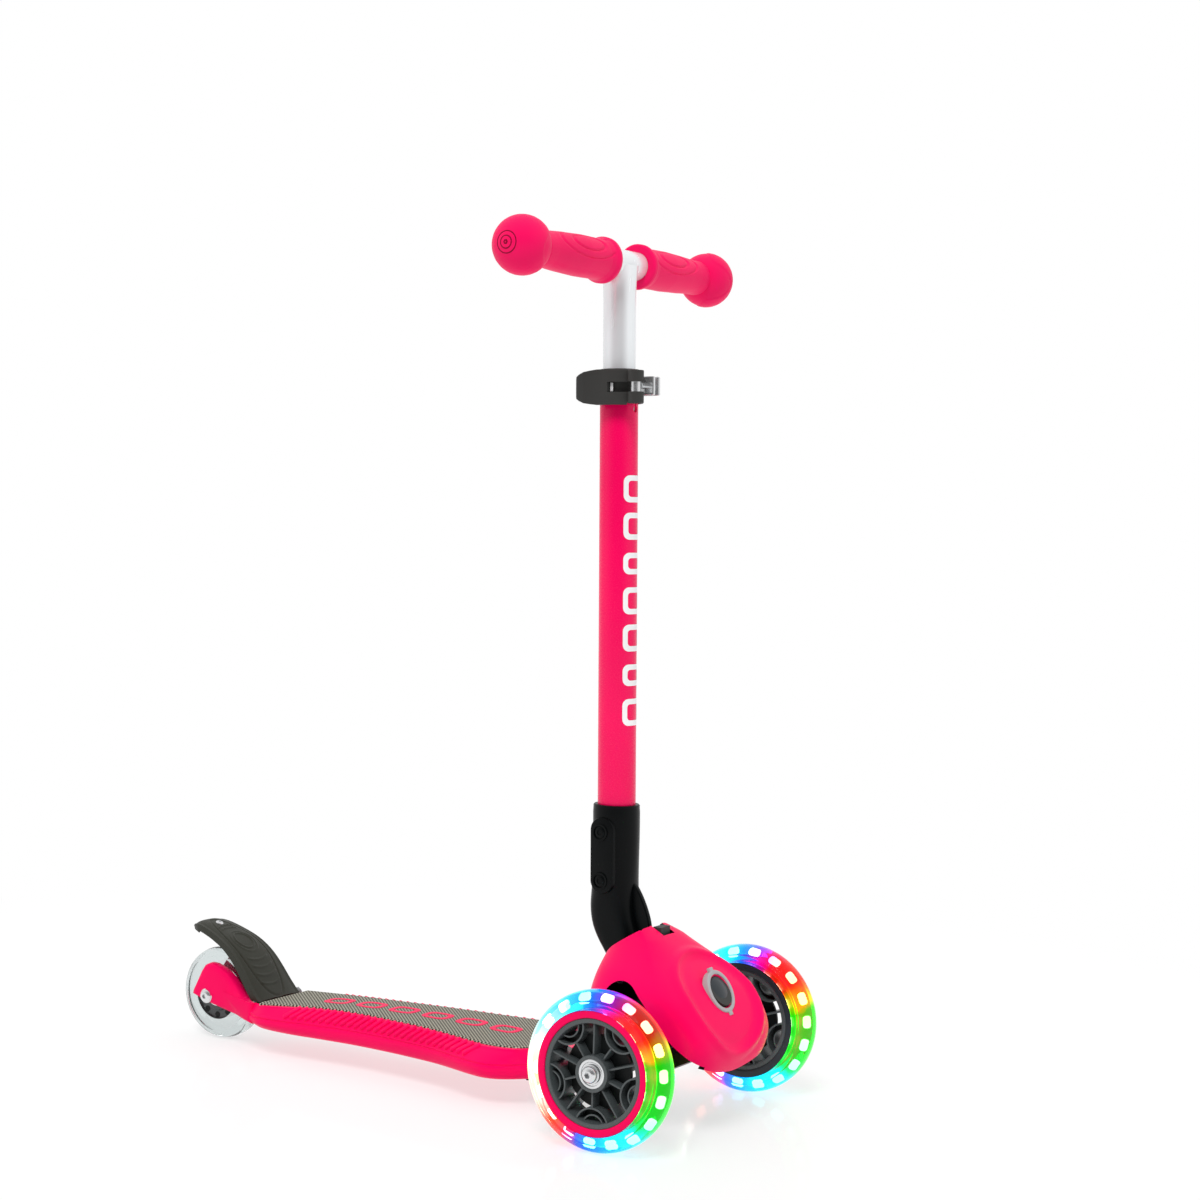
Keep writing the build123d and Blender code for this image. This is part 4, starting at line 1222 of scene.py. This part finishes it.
def leverPiece():
    look = leverLook
    px, py = leverPivot
    middle = (look["low"] + look["high"]) / 2
    half = (look["high"] - look["low"]) / 2
    path = []
    for step in range(15):
        turn = radians(226 - 46 * step / 14)
        path.append((cos(turn) * look["bend"], sin(turn) * look["bend"], look["thick"]))
    path += [(-22.9, 6, 2.35), (-23.0, 12, 2.3), (-22.7, 18, 2.1), (-22.2, 22.5, 1.7), (-21.9, 25.2, 1.0)]
    rows = []
    for index, (x, y, thick) in enumerate(path):
        ahead = Vector(path[min(index + 1, len(path) - 1)][:2]) - Vector(path[max(index - 1, 0)][:2])
        out = Vector((-ahead.y, ahead.x)).normalized() * (1 if ahead.y > 0 else -1)
        share = max(0.0, (y - 9) / 16.2)
        tall = half * (1 - 0.34 * share ** 2.6) * (1.0 if y < 11 else 0.955)
        groove = sum(max(0.0, 1 - abs(y - spot) / 0.9) for spot in look["grooves"]) * look["grooveDeep"]
        row = []
        for k in range(40):
            c, s = cos(2 * pi * k / 40), sin(2 * pi * k / 40)
            side, lift = signedPower(c, 0.35), signedPower(s, 0.35)
            depth = thick * side - (groove if side > 0.6 else 0)
            row.append(upStem(x + out.x * depth, y + out.y * depth, middle + tall * lift))
        rows.append(row)
    blade = bmesh.new()
    fine = []
    for first, second in zip(rows, rows[1:]):
        fine += [[a.lerp(b, t / 3) for a, b in zip(first, second)] for t in range(3)]
    addRows(blade, fine + [rows[-1]])
    boss = lathe(ringProfile(look["low"] + 1, look["high"] - 1, 4.1, 6.3, 0.8, 3), upStem(px, py, 0),
                 stemLine, 48)
    slot = [(-40, -36), (-9, -36), (-9, -27.5), (-12, -10), (-18, look["slotEnd"]), (-40, look["slotEnd"])]
    slotLow, slotTop = middle - look["slotHigh"] / 2, middle + look["slotHigh"] / 2
    bladeCut, bossCut = [meshFrom(stemPrism(slot, slotLow, slotTop), name) for name in ("slot", "bossSlot")]
    bore = meshFrom(rod(300, 350, 5.6, upStem(px, py, 0), stemLine, 40), "boreCut")
    mesh = booleanMesh(meshFrom(blade, "leverBody"), [bladeCut, bore], "leverBody")
    finishPiece("lever_body", mesh, "leverBlack", "clamp_lever", ("clamp_lever",))
    bossMesh = booleanMesh(meshFrom(boss, "leverBoss"), [bossCut], "leverBoss")
    finishPiece("lever_boss", bossMesh, "leverBlack", "clamp_lever")
    strip = bevelBox((-0.0006, -0.0012, -0.0034), (0.0006, 0.0012, 0.0034), 0.0004)
    placeOnStem(strip, upStem(-20.4, look["slotEnd"] - 1.6, middle))
    finishPiece("lever_strip", meshFrom(strip, "leverStrip"), "graphicWhite", "clamp_lever")


clampPieces()
leverPiece()
print("clamp made")

# grips

gripLook = {
    "inner": 24.0, "ball": 138.0, "ballRadius": 21.8, "steps": 144,
    "grooveShadeRings": (8.0, 4.6), "ovalCentre": 64.0, "ovalLong": 21.0, "ovalWide": 7.2, "ovalTurn": 38.0,
    "ovalDeep": 1.1, "outerOvalDeep": 0.9, "petals": 3, "petalHigh": 0.5,
}


def gripProfile():
    g = gripLook
    points = [(g["inner"], 11.2), (g["inner"], 16.6), (g["inner"] + 1.2, 17.8), (g["inner"] + 4.2, 17.9),
              (g["inner"] + 7.0, 16.6), (g["inner"] + 12, 15.7), (g["inner"] + 40, 15.9),
              (g["inner"] + 66, 15.0), (g["inner"] + 84, 13.9), (118.5, 13.9)]
    for step in range(19):
        turn = radians(142 - 142 * step / 18 * 0.985)
        points.append((g["ball"] + cos(turn) * g["ballRadius"], sin(turn) * g["ballRadius"]))
    return points


def gripPiece(side, sign):
    g = gripLook
    origin = upStem(0, 0, tubeLook["barHeight"])
    forward = Vector((0, -stemLine.z, stemLine.y))
    run = []
    profile = gripProfile()
    for (a, r), (b, q) in zip(profile, profile[1:]):
        parts = max(1, int(hypot(b - a, q - r) / 0.8))
        run += [(a + (b - a) * k / parts, r + (q - r) * k / parts) for k in range(parts)]
    run.append(profile[-1])
    rows = []
    for along, radius in run:
        row = []
        for k in range(g["steps"]):
            turn = 2 * pi * k / g["steps"]
            r = radius
            if along > g["inner"] + 8 and along < 118:
                for centreTurn in (radians(g["ovalTurn"]), radians(g["ovalTurn"] - 180)):
                    away = (turn - centreTurn + pi) % (2 * pi) - pi
                    reach = hypot((along - g["ovalCentre"]) / g["ovalLong"], away * 15 / g["ovalWide"])
                    r -= g["ovalDeep"] * max(0.0, 1 - abs(reach - 1.0) / 0.14)
                    if abs(along - g["ovalCentre"]) < 40:
                        r -= g["outerOvalDeep"] * max(0.0, 1 - abs(reach - 1.75) / 0.11)
            if along > 120:  # raised panels that fold over the ball
                petal = 0.5 + 0.5 * cos(g["petals"] * turn + 0.6)
                edge = g["ball"] - 12 + 15 * petal
                rise = min(1.0, max(0.0, (along - edge) / 0.9))
                r += g["petalHigh"] * rise * min(1.0, max(0.0, (158.6 - along) / 2))
            direction = forward * cos(turn) + stemLine * sin(turn)
            row.append(origin + Vector((sign * along / 1000, 0, 0)) + direction * (r / 1000))
        rows.append(row)
    build = bmesh.new()
    addRows(build, rows, False, True)
    finishPiece(f"{side}_soft_grip", meshFrom(build, "grip"), "gripRed", "handlebar",
                (f"{side}_grip",), 50)
    # dark rings on the ball's end are painted shade standing for grooves; a dark hex sits in the middle
    marks = bmesh.new()
    for radius in g["grooveShadeRings"]:
        high = g["ball"] + (g["ballRadius"] ** 2 - radius ** 2) ** 0.5 + 0.12
        ring = roundProfile([(high - 1, radius - 0.4), (high, radius - 0.4), (high, radius + 0.4),
                             (high - 1, radius + 0.4)], 0.15, 2)
        joinBuilds(marks, lathe(ring, origin, (sign, 0, 0), 64))
    end = origin + Vector((sign * (g["ball"] + g["ballRadius"]) / 1000, 0, 0))
    rows = []
    for along, r in ((-2, 1.9), (0.0, 1.9), (0.25, 1.6), (0.25, 0.9), (-0.5, 0.8)):
        rows.append([end + Vector((sign * along / 1000, 0, 0)) + (forward * cos(pi / 3 * k)
                     + stemLine * sin(pi / 3 * k)) * (r / 1000) for k in range(6)])
    addRows(marks, rows)
    finishPiece(f"{side}_grip_end", meshFrom(marks, "gripEnd"), "gripShade", "handlebar",
                (f"{side}_grip_cap",), 30)


for side, sign in (("left", 1), ("right", -1)):
    gripPiece(side, sign)
print("handlebar made")

# deck

# distance behind the front axle with half the width and the heights of the bottom and top there
deckHalf = [(58, 44), (92, 43), (112, 47), (124, 56), (134, 61.5), (145, 63), (160, 60), (178, 54.5),
            (198, 49), (220, 45.2), (250, 41.5), (290, 39), (325, 40), (355, 41.5), (385, 40), (402, 33),
            (416, 27.5), (430, 25), (445, 24.3), (480, 24)]
deckBottom = [(58, 44), (72, 33.5), (84, 27.5), (100, 23.6), (118, 22.2), (160, 22), (320, 22), (370, 22.2),
              (401, 23.4), (424, 27.2), (440, 30.0), (455, 33.6), (474, 40)]
deckTop = [(58, 62), (70, 55), (84, 50), (100, 47.2), (120, 46.6), (150, 46.6), (220, 48.2), (300, 47.8),
           (345, 45.8), (390, 42.6), (402, 42.8), (412, 45.0), (422, 52), (433, 61), (445, 67), (456, 68.6)]
matHalf = [(108, 24), (110, 32), (114, 39), (121, 44.5), (132, 48), (146, 49), (160, 47), (178, 43.5),
           (200, 39.5), (225, 36), (260, 32), (300, 28.6), (330, 28.8), (360, 31), (391, 34)]
matTop = [(108, 47.6), (150, 48.4), (220, 50), (300, 49.6), (345, 47.6), (391, 44.4)]


def deckSection(y):
    # right half of the tray's outline at one station, from the middle of the top to the middle below
    half = curveValue(deckHalf, y)
    sink = (max(0.0, y - 400) / 12) ** 2
    half -= 3.0 * sink
    top = curveValue(deckTop, y) - 2.2 * sink
    bottom = curveValue(deckBottom, y) + 1.5 * sink
    inner = min(curveValue(matHalf, min(max(y, 112), 391)) + 1.2, half - 6)
    lineZ = bottom + (top - bottom) * 0.50
    return [(0, top), (inner * 0.6, top), (inner, top), (inner + (half - inner) * 0.26, top - 1.8),
            (inner + (half - inner) * 0.60, top - 5.6), (half - 1.8, lineZ + 3.0), (half - 0.5, lineZ + 1.2),
            (half - 0.9, lineZ + 0.3), (half - 0.9, lineZ - 0.4), (half, lineZ - 1.4),
            (half - 0.2, lineZ - 5), (half - 2.2, bottom + 3.2), (half - 5.5, bottom + 0.7),
            (half - 10, bottom), (half * 0.4, bottom), (0, bottom)]


def mirrored(half, y):
    # a closed row of points from the right half of an outline
    return [at(x, y, z) for x, z in half] + [at(-x, y, z) for x, z in reversed(half[1:-1])]


def deckMesh():
    rows = []
    stations = [58 + 3.2 * k for k in range(int((404 - 58) / 3.2) + 1)] + [406, 408, 410, 411.6]
    for y in stations:
        rows.append(mirrored(smoothLine(deckSection(y), 45), y))
    build = bmesh.new()
    addRows(build, rows)
    mesh = meshFrom(build, "deckBody")
    cutRoom = prismX([(393.5, 37), (393.5, 60), (414, 60), (414, 30), (397, 33)], -29.5, 29.5)
    return booleanMesh(mesh, [cutRoom], "deckBody")


armSide = [(398, 24.2), (412, 24.6), (424, 27.2), (440, 30.4), (455, 33.8), (466, 36.9), (474.3, 40.0),
           (473.6, 43.0), (469, 52), (464.5, 61), (460.5, 66.6), (456, 68.7), (450, 68.4), (443, 66.2),
           (435, 62.2), (428, 56.5), (421, 50.0), (413, 45.2), (404, 42.9), (398, 42.4)]


def armMesh(sign):
    # one arm of the fork, a rounded cheek beside the back wheel
    rows = []
    middleY, middleZ = 438, 47
    for depth, inset in ((15.5, 0.6), (15.9, 0.0), (20.5, 0.0), (22.6, 0.7), (23.8, 2.0), (24.3, 4.0),
                         (24.5, 7.0)):
        row = []
        for y, z in armSide:
            away = Vector((middleY - y, middleZ - z))
            move = away.normalized() * min(inset, away.length * 0.5)
            spread = max(0.0, (424 - y) / 26) ** 1.5 * 9.5 * (depth - 15) / 10
            row.append(at(sign * (depth + spread), y + move.x * 0.8, z + move.y * 0.8))
        rows.append(row)
    build = bmesh.new()
    addRows(build, rows)
    return build


ribLook = {
    "count": 28, "first": 150.0, "last": 346.0, "slant": 13.0, "upperShare": 0.06, "lowerShare": 0.93,
    "wide": 4.6, "high": 1.9,
}


def ribEnd(y, share, sign):
    # a point on the shoulder between the mat's edge and the side line
    half = curveValue(deckHalf, y)
    inner = curveValue(matHalf, y) + 1.4
    x = inner + (half - 1.6 - inner) * share
    section = smoothLine(deckSection(y), 45)
    for (x0, z0), (x1, z1) in zip(section, section[1:]):
        if x0 <= x <= x1:
            return at(sign * x, y, z0 + (z1 - z0) * (x - x0) / (x1 - x0))


def trayPieces():
    finishPiece("deck_tray", deckMesh(), "shellRed", "deck_frame", ("deck",), 32)
    for side, sign in (("left", 1), ("right", -1)):
        mesh = meshFrom(armMesh(sign), "forkArm")
        finishPiece(f"{side}_fork_arm", mesh, "shellRed", "deck_frame", (), 45)


def addShoulderRibs():
    look = ribLook
    places = []
    for sign in (1, -1):
        for index in range(look["count"]):
            share = index / (look["count"] - 1)
            y = look["first"] + (look["last"] - look["first"]) * share
            inner = ribEnd(y, look["upperShare"], sign)
            outer = ribEnd(y + look["slant"], look["lowerShare"], sign)
            along = outer - inner
            normal = Vector((sign * 0.50, 0, 0.87))
            stretch = Vector((along.length / 0.020, 1, 1))
            places.append(((inner + outer) / 2, axesFrom(along, normal), stretch))
    wide = look["wide"] / 2000
    rib = bevelBox((-0.010, -wide, -0.0016), (0.010, wide, look["high"] / 1000), 0.0010, 3)
    finishPiece("shoulder_ribs", rowMesh("shoulderRibs", rib, places, "shellRed"), "shellRed", "deck_frame",
                (), 60)


def addMat():
    rows = []
    for k in range(121):
        y = min(108 + 2.35 * k, 390.5)
        half = curveValue(matHalf, y)
        top = curveValue(matTop, y)
        base = top - 3.0
        profile = [(0, top), (half * 0.5, top), (half - 2.2, top), (half - 0.8, top - 0.3), (half, top - 1.1),
                   (half, base), (0, base)]
        rows.append(mirrored(profile, y))
    build = bmesh.new()
    addRows(build, rows)
    finishPiece("tread_mat", meshFrom(build, "treadMat"), "matRubber", "deck_frame",
                ("grip_mat",), 40)


inlayLook = {
    "count": 6, "first": 160.0, "pitch": 34.0, "long": 24.0, "half": 10.5, "hole": 0.62, "proud": 0.35,
    "deep": 1.2,
}


def addInlays():
    # rounded frames in a row along the mat
    look = inlayLook
    build = bmesh.new()
    for index in range(look["count"]):
        middle = look["first"] + look["pitch"] * index
        loops = []
        for scale in (1.0, look["hole"]):
            loop = []
            for k in range(36):
                c, s = cos(2 * pi * k / 36), sin(2 * pi * k / 36)
                x = look["half"] * scale * signedPower(c, 0.6)
                y = middle + look["long"] / 2 * signedPower(s, 0.6) * (scale + 0.06)
                loop.append(at(x, y, curveValue(matTop, y) + look["proud"]))
            loops.append(loop)
        deep = [[point - Vector((0, 0, look["deep"] / 1000)) for point in loop] for loop in loops]
        addRows(build, [deep[0], loops[0], loops[1], deep[1], deep[0]], False, False)
    finishPiece("mat_inlays", meshFrom(build, "inlays"), "trimRed", "deck_frame",
                ("deck_inlays",), 30)


trayPieces()
addShoulderRibs()
addMat()
addInlays()
print("deck made")

# rear brake

# (distance behind the front axle, height) along the top, then half the width at such distances
brakeTopLine = [(394.5, 44.2), (399, 48.5), (405, 55.5), (413, 66), (421, 75.5), (430, 83.6), (440, 90),
                (452, 95.3), (464, 99.4), (473, 101.4), (479, 101.2), (484, 98.2), (486.6, 93.8)]
brakeHalf = [(394, 27.5), (401, 27.5), (412, 26.5), (424, 25), (440, 22.4), (455, 19.8), (468, 17.8),
             (478, 15.5), (484, 12.5), (487, 8)]


brakeLook = {
    "hinge": (0, 401, 41), "hingeHalf": 26.5, "thick": 3.4, "edgeThick": 1.4, "edgeFall": 2.6,
    "padCentre": 437.0, "bars": (18, 22.5, -18, -23, -28, -33), "rings": ((8.4, 0.9), (11.6, 0.55)),
    "grooveCentre": 434.0, "grooveDeep": 0.9, "steps": 190, "lanes": 72,
}


def brakeHeight(y, across):
    # raised and sunk detail of the foot pad, in millimetres
    look = brakeLook
    edge = abs(across)
    groove = hypot((y - look["grooveCentre"]) / 39.0, across / 0.72)
    high = -look["grooveDeep"] * max(0.0, 1 - abs(groove - 1.0) / 0.05)
    fromPad = y - look["padCentre"]
    spot = hypot(fromPad, across * 22)
    for radius, size in look["rings"]:
        high += size * max(0.0, 1 - abs(spot - radius) / 1.1)
    for offset in look["bars"]:
        bend = fromPad - offset + (across * 1.9) ** 2 * (2.2 if offset > 0 else -2.2)
        if edge < 0.52:
            high += 0.8 * max(0.0, 1 - abs(bend) / 1.0) * min(1.0, (0.52 - edge) / 0.1)
    high += 0.9 * max(0.0, (edge - 0.86) / 0.14)
    return high


def brakePieces():
    look = brakeLook
    rows = []
    for step in range(look["steps"] + 1):
        t = step / look["steps"]
        point = linePoint(brakeTopLine, t)
        ahead = linePoint(brakeTopLine, min(1, t + 0.004))
        slope = (ahead - linePoint(brakeTopLine, max(0, t - 0.004))).normalized()
        normal = Vector((-slope.y, slope.x))
        half = curveValue(brakeHalf, point.x)
        top, under = [], []
        for lane in range(look["lanes"] + 1):
            across = lane / look["lanes"] * 2 - 1
            fall = look["edgeFall"] * abs(across) ** 3.2
            high = brakeHeight(point.x, across) - fall
            thick = look["thick"] + look["edgeThick"] * abs(across)
            top.append(at(across * half, point.x + normal.x * high, point.y + normal.y * high))
            low = -fall - thick
            under.append(at(across * half * 0.985, point.x + normal.x * low, point.y + normal.y * low))
        rows.append(top + under[::-1])
    build = bmesh.new()
    addRows(build, rows)
    finishPiece("foot_brake", meshFrom(build, "footBrake"), "brakeOlive", "rear_brake",
                ("brake_fender",), 55)
    hinge, half = at(*look["hinge"]), look["hingeHalf"]
    barrel = lathe(ringProfile(-half, half, 2.6, 5.2), hinge, (1, 0, 0), 40)
    finishPiece("brake_barrel", meshFrom(barrel, "brakeBarrel"), "brakeOlive", "rear_brake")
    pin = rod(-half - 3, half + 3, 2.45, hinge, (1, 0, 0), 24)
    finishPiece("brake_hinge_pin", meshFrom(pin, "hingePin"), "boltSteel", "deck_frame",
                ("brake_pin",))
    screw = bmesh.new()
    hexSocketHead(screw, at(0, 464.7, 99.3), (0, -0.32, 0.95), 3.4, 1.9, 1.5)
    finishPiece("brake_top_screw", meshFrom(screw, "brakeScrew"), "boltSteel", "rear_brake",
                ("brake_screw",), 30)


brakePieces()
print("brake made")

# finishes for the pieces that keep their own shape

keptFinish = {
    "front_chassis": "holderBlack", "underside_cover": "holderBlack", "steer_buffers": "holderBlack",
    "left_kingpin": "boltSteel", "right_kingpin": "boltSteel", "hinge_bolt": "boltSteel",
    "hinge_nut": "boltSteel", "latch_spring": "springSteel", "rear_spacers": "boltSteel",
    "brake_spring": "springSteel", "tie_rod": "holderBlack",
    "left_knuckle": "holderBlack", "right_knuckle": "holderBlack", "lock_button": "leverBlack",
    "fold_latch": "leverBlack", "brake_wear_plate": "boltSteel",
}
for node, finish in keptFinish.items():
    thing = frame["nodes"][node]
    thing.data.materials.clear()
    thing.data.materials.append(materials[finish])
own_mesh(frame["nodes"]["latch_spring"])
print("kept pieces finished")

# floor, light and camera

studio = {
    "floorSize": 9.0, "around": 0.88, "behindCamera": 0.10, "brightTo": 0.35, "darkFrom": 0.93, "sun": 1.9,
    "sunAngle": 22.0, "sunFrom": (-0.75, -0.25, 1.0), "toCamera": (-0.90, -0.42, 0.12), "floorGloss": 0.12,
    "floorRough": 0.09, "floorColor": (0.93, 0.93, 0.93, 1), "litTo": 0.15, "whiteFrom": 0.95,
}


def floorMaterial():
    # white sweep: lit near the object, self-lit farther out so that no edge shows
    material, nodes, links, shader = newMaterial("paleFloor")
    length = nodes.new("ShaderNodeVectorMath")
    length.operation = "LENGTH"
    links.new(objectSocket(nodes), length.inputs[0])
    far = rampNode(nodes, links, length.outputs["Value"],
                   [(studio["litTo"], (0.62,) * 3), (studio["whiteFrom"], (1.0,) * 3)])
    shader.inputs["Base Color"].default_value = studio["floorColor"]
    shader.inputs["Roughness"].default_value = 1.0
    shader.inputs["Specular IOR Level"].default_value = 0.0
    glow = nodes.new("ShaderNodeEmission")
    gloss = nodes.new("ShaderNodeBsdfGlossy")
    gloss.inputs["Roughness"].default_value = studio["floorRough"]
    spread, sheen = nodes.new("ShaderNodeMixShader"), nodes.new("ShaderNodeMixShader")
    sheen.inputs[0].default_value = studio["floorGloss"]
    links.new(far, spread.inputs[0])
    links.new(shader.outputs[0], sheen.inputs[1])
    links.new(gloss.outputs[0], sheen.inputs[2])
    links.new(sheen.outputs[0], spread.inputs[1])
    links.new(glow.outputs[0], spread.inputs[2])
    links.new(spread.outputs[0], nodes["Material Output"].inputs[0])
    return material


def studioWorld():
    # plain white to the eye, and for the light a white room with a dark side behind the camera
    world = bpy.data.worlds.new("studio")
    world.use_nodes = True
    nodes, links = world.node_tree.nodes, world.node_tree.links
    background = nodes["Background"]
    coords = nodes.new("ShaderNodeTexCoord")
    facing = nodes.new("ShaderNodeVectorMath")
    facing.operation = "DOT_PRODUCT"
    facing.inputs[1].default_value = Vector(studio["toCamera"]).normalized()
    links.new(coords.outputs["Generated"], facing.inputs[0])
    bright, dark = (studio["around"],) * 3, (studio["behindCamera"],) * 3
    room = rampNode(nodes, links, facing.outputs["Value"],
                    [(studio["brightTo"], bright), (studio["darkFrom"], dark)])
    path = nodes.new("ShaderNodeLightPath")
    choice = nodes.new("ShaderNodeMixRGB")
    choice.inputs[2].default_value = (1, 1, 1, 1)
    links.new(path.outputs["Is Camera Ray"], choice.inputs[0])
    links.new(room, choice.inputs[1])
    links.new(choice.outputs[0], background.inputs[0])
    bpy.context.scene.world = world


def studioPieces():
    size = studio["floorSize"]
    build = bmesh.new()
    corners = ((-1, -1), (1, -1), (1, 1), (-1, 1))
    build.faces.new([build.verts.new((x * size, y * size, 0)) for x, y in corners])
    mesh = meshFrom(build, "floor", False)
    mesh.materials.append(floorMaterial())
    floor = bpy.data.objects.new("floor", mesh)
    bpy.context.scene.collection.objects.link(floor)
    studioWorld()
    lamp = bpy.data.lights.new("sun", "SUN")
    lamp.energy = studio["sun"]
    lamp.angle = radians(studio["sunAngle"])
    thing = bpy.data.objects.new("sun", lamp)
    thing.rotation_euler = (-Vector(studio["sunFrom"])).to_track_quat("-Z", "Y").to_euler()
    thing.visible_glossy = False
    bpy.context.scene.collection.objects.link(thing)


# the eye in millimetres, angles in degrees, lens in millimetres on a sensor 36 wide
cameraLook = {
    "eye": (-1591.0, -892.6, 479.9), "azimuth": -58.53, "elevation": 3.47, "roll": 1.643,
    "lens": 71.211, "sensor": 36, "shift": 0.0365,
}


def cameraPiece():
    look = cameraLook
    a, e = radians(look["azimuth"]), radians(look["elevation"])
    back = Vector((sin(a) * cos(e), -cos(a) * cos(e), sin(e)))
    right = Vector((0, 0, 1)).cross(back).normalized()
    up = back.cross(right)
    t = radians(look["roll"])
    right, up = right * cos(t) + up * sin(t), up * cos(t) - right * sin(t)
    data = bpy.data.cameras.new("camera")
    data.sensor_width = look["sensor"]
    data.lens = look["lens"]
    data.shift_y = look["shift"]
    data.clip_end = 20
    camera = bpy.data.objects.new("camera", data)
    turn = Matrix((right, up, back)).transposed().to_4x4()
    camera.matrix_world = Matrix.Translation(at(*look["eye"])) @ turn
    bpy.context.scene.collection.objects.link(camera)
    bpy.context.scene.camera = camera


studioPieces()
cameraPiece()
bpy.context.scene.view_settings.view_transform = "Standard"
bpy.context.scene.view_settings.look = "None"
print("studio made")
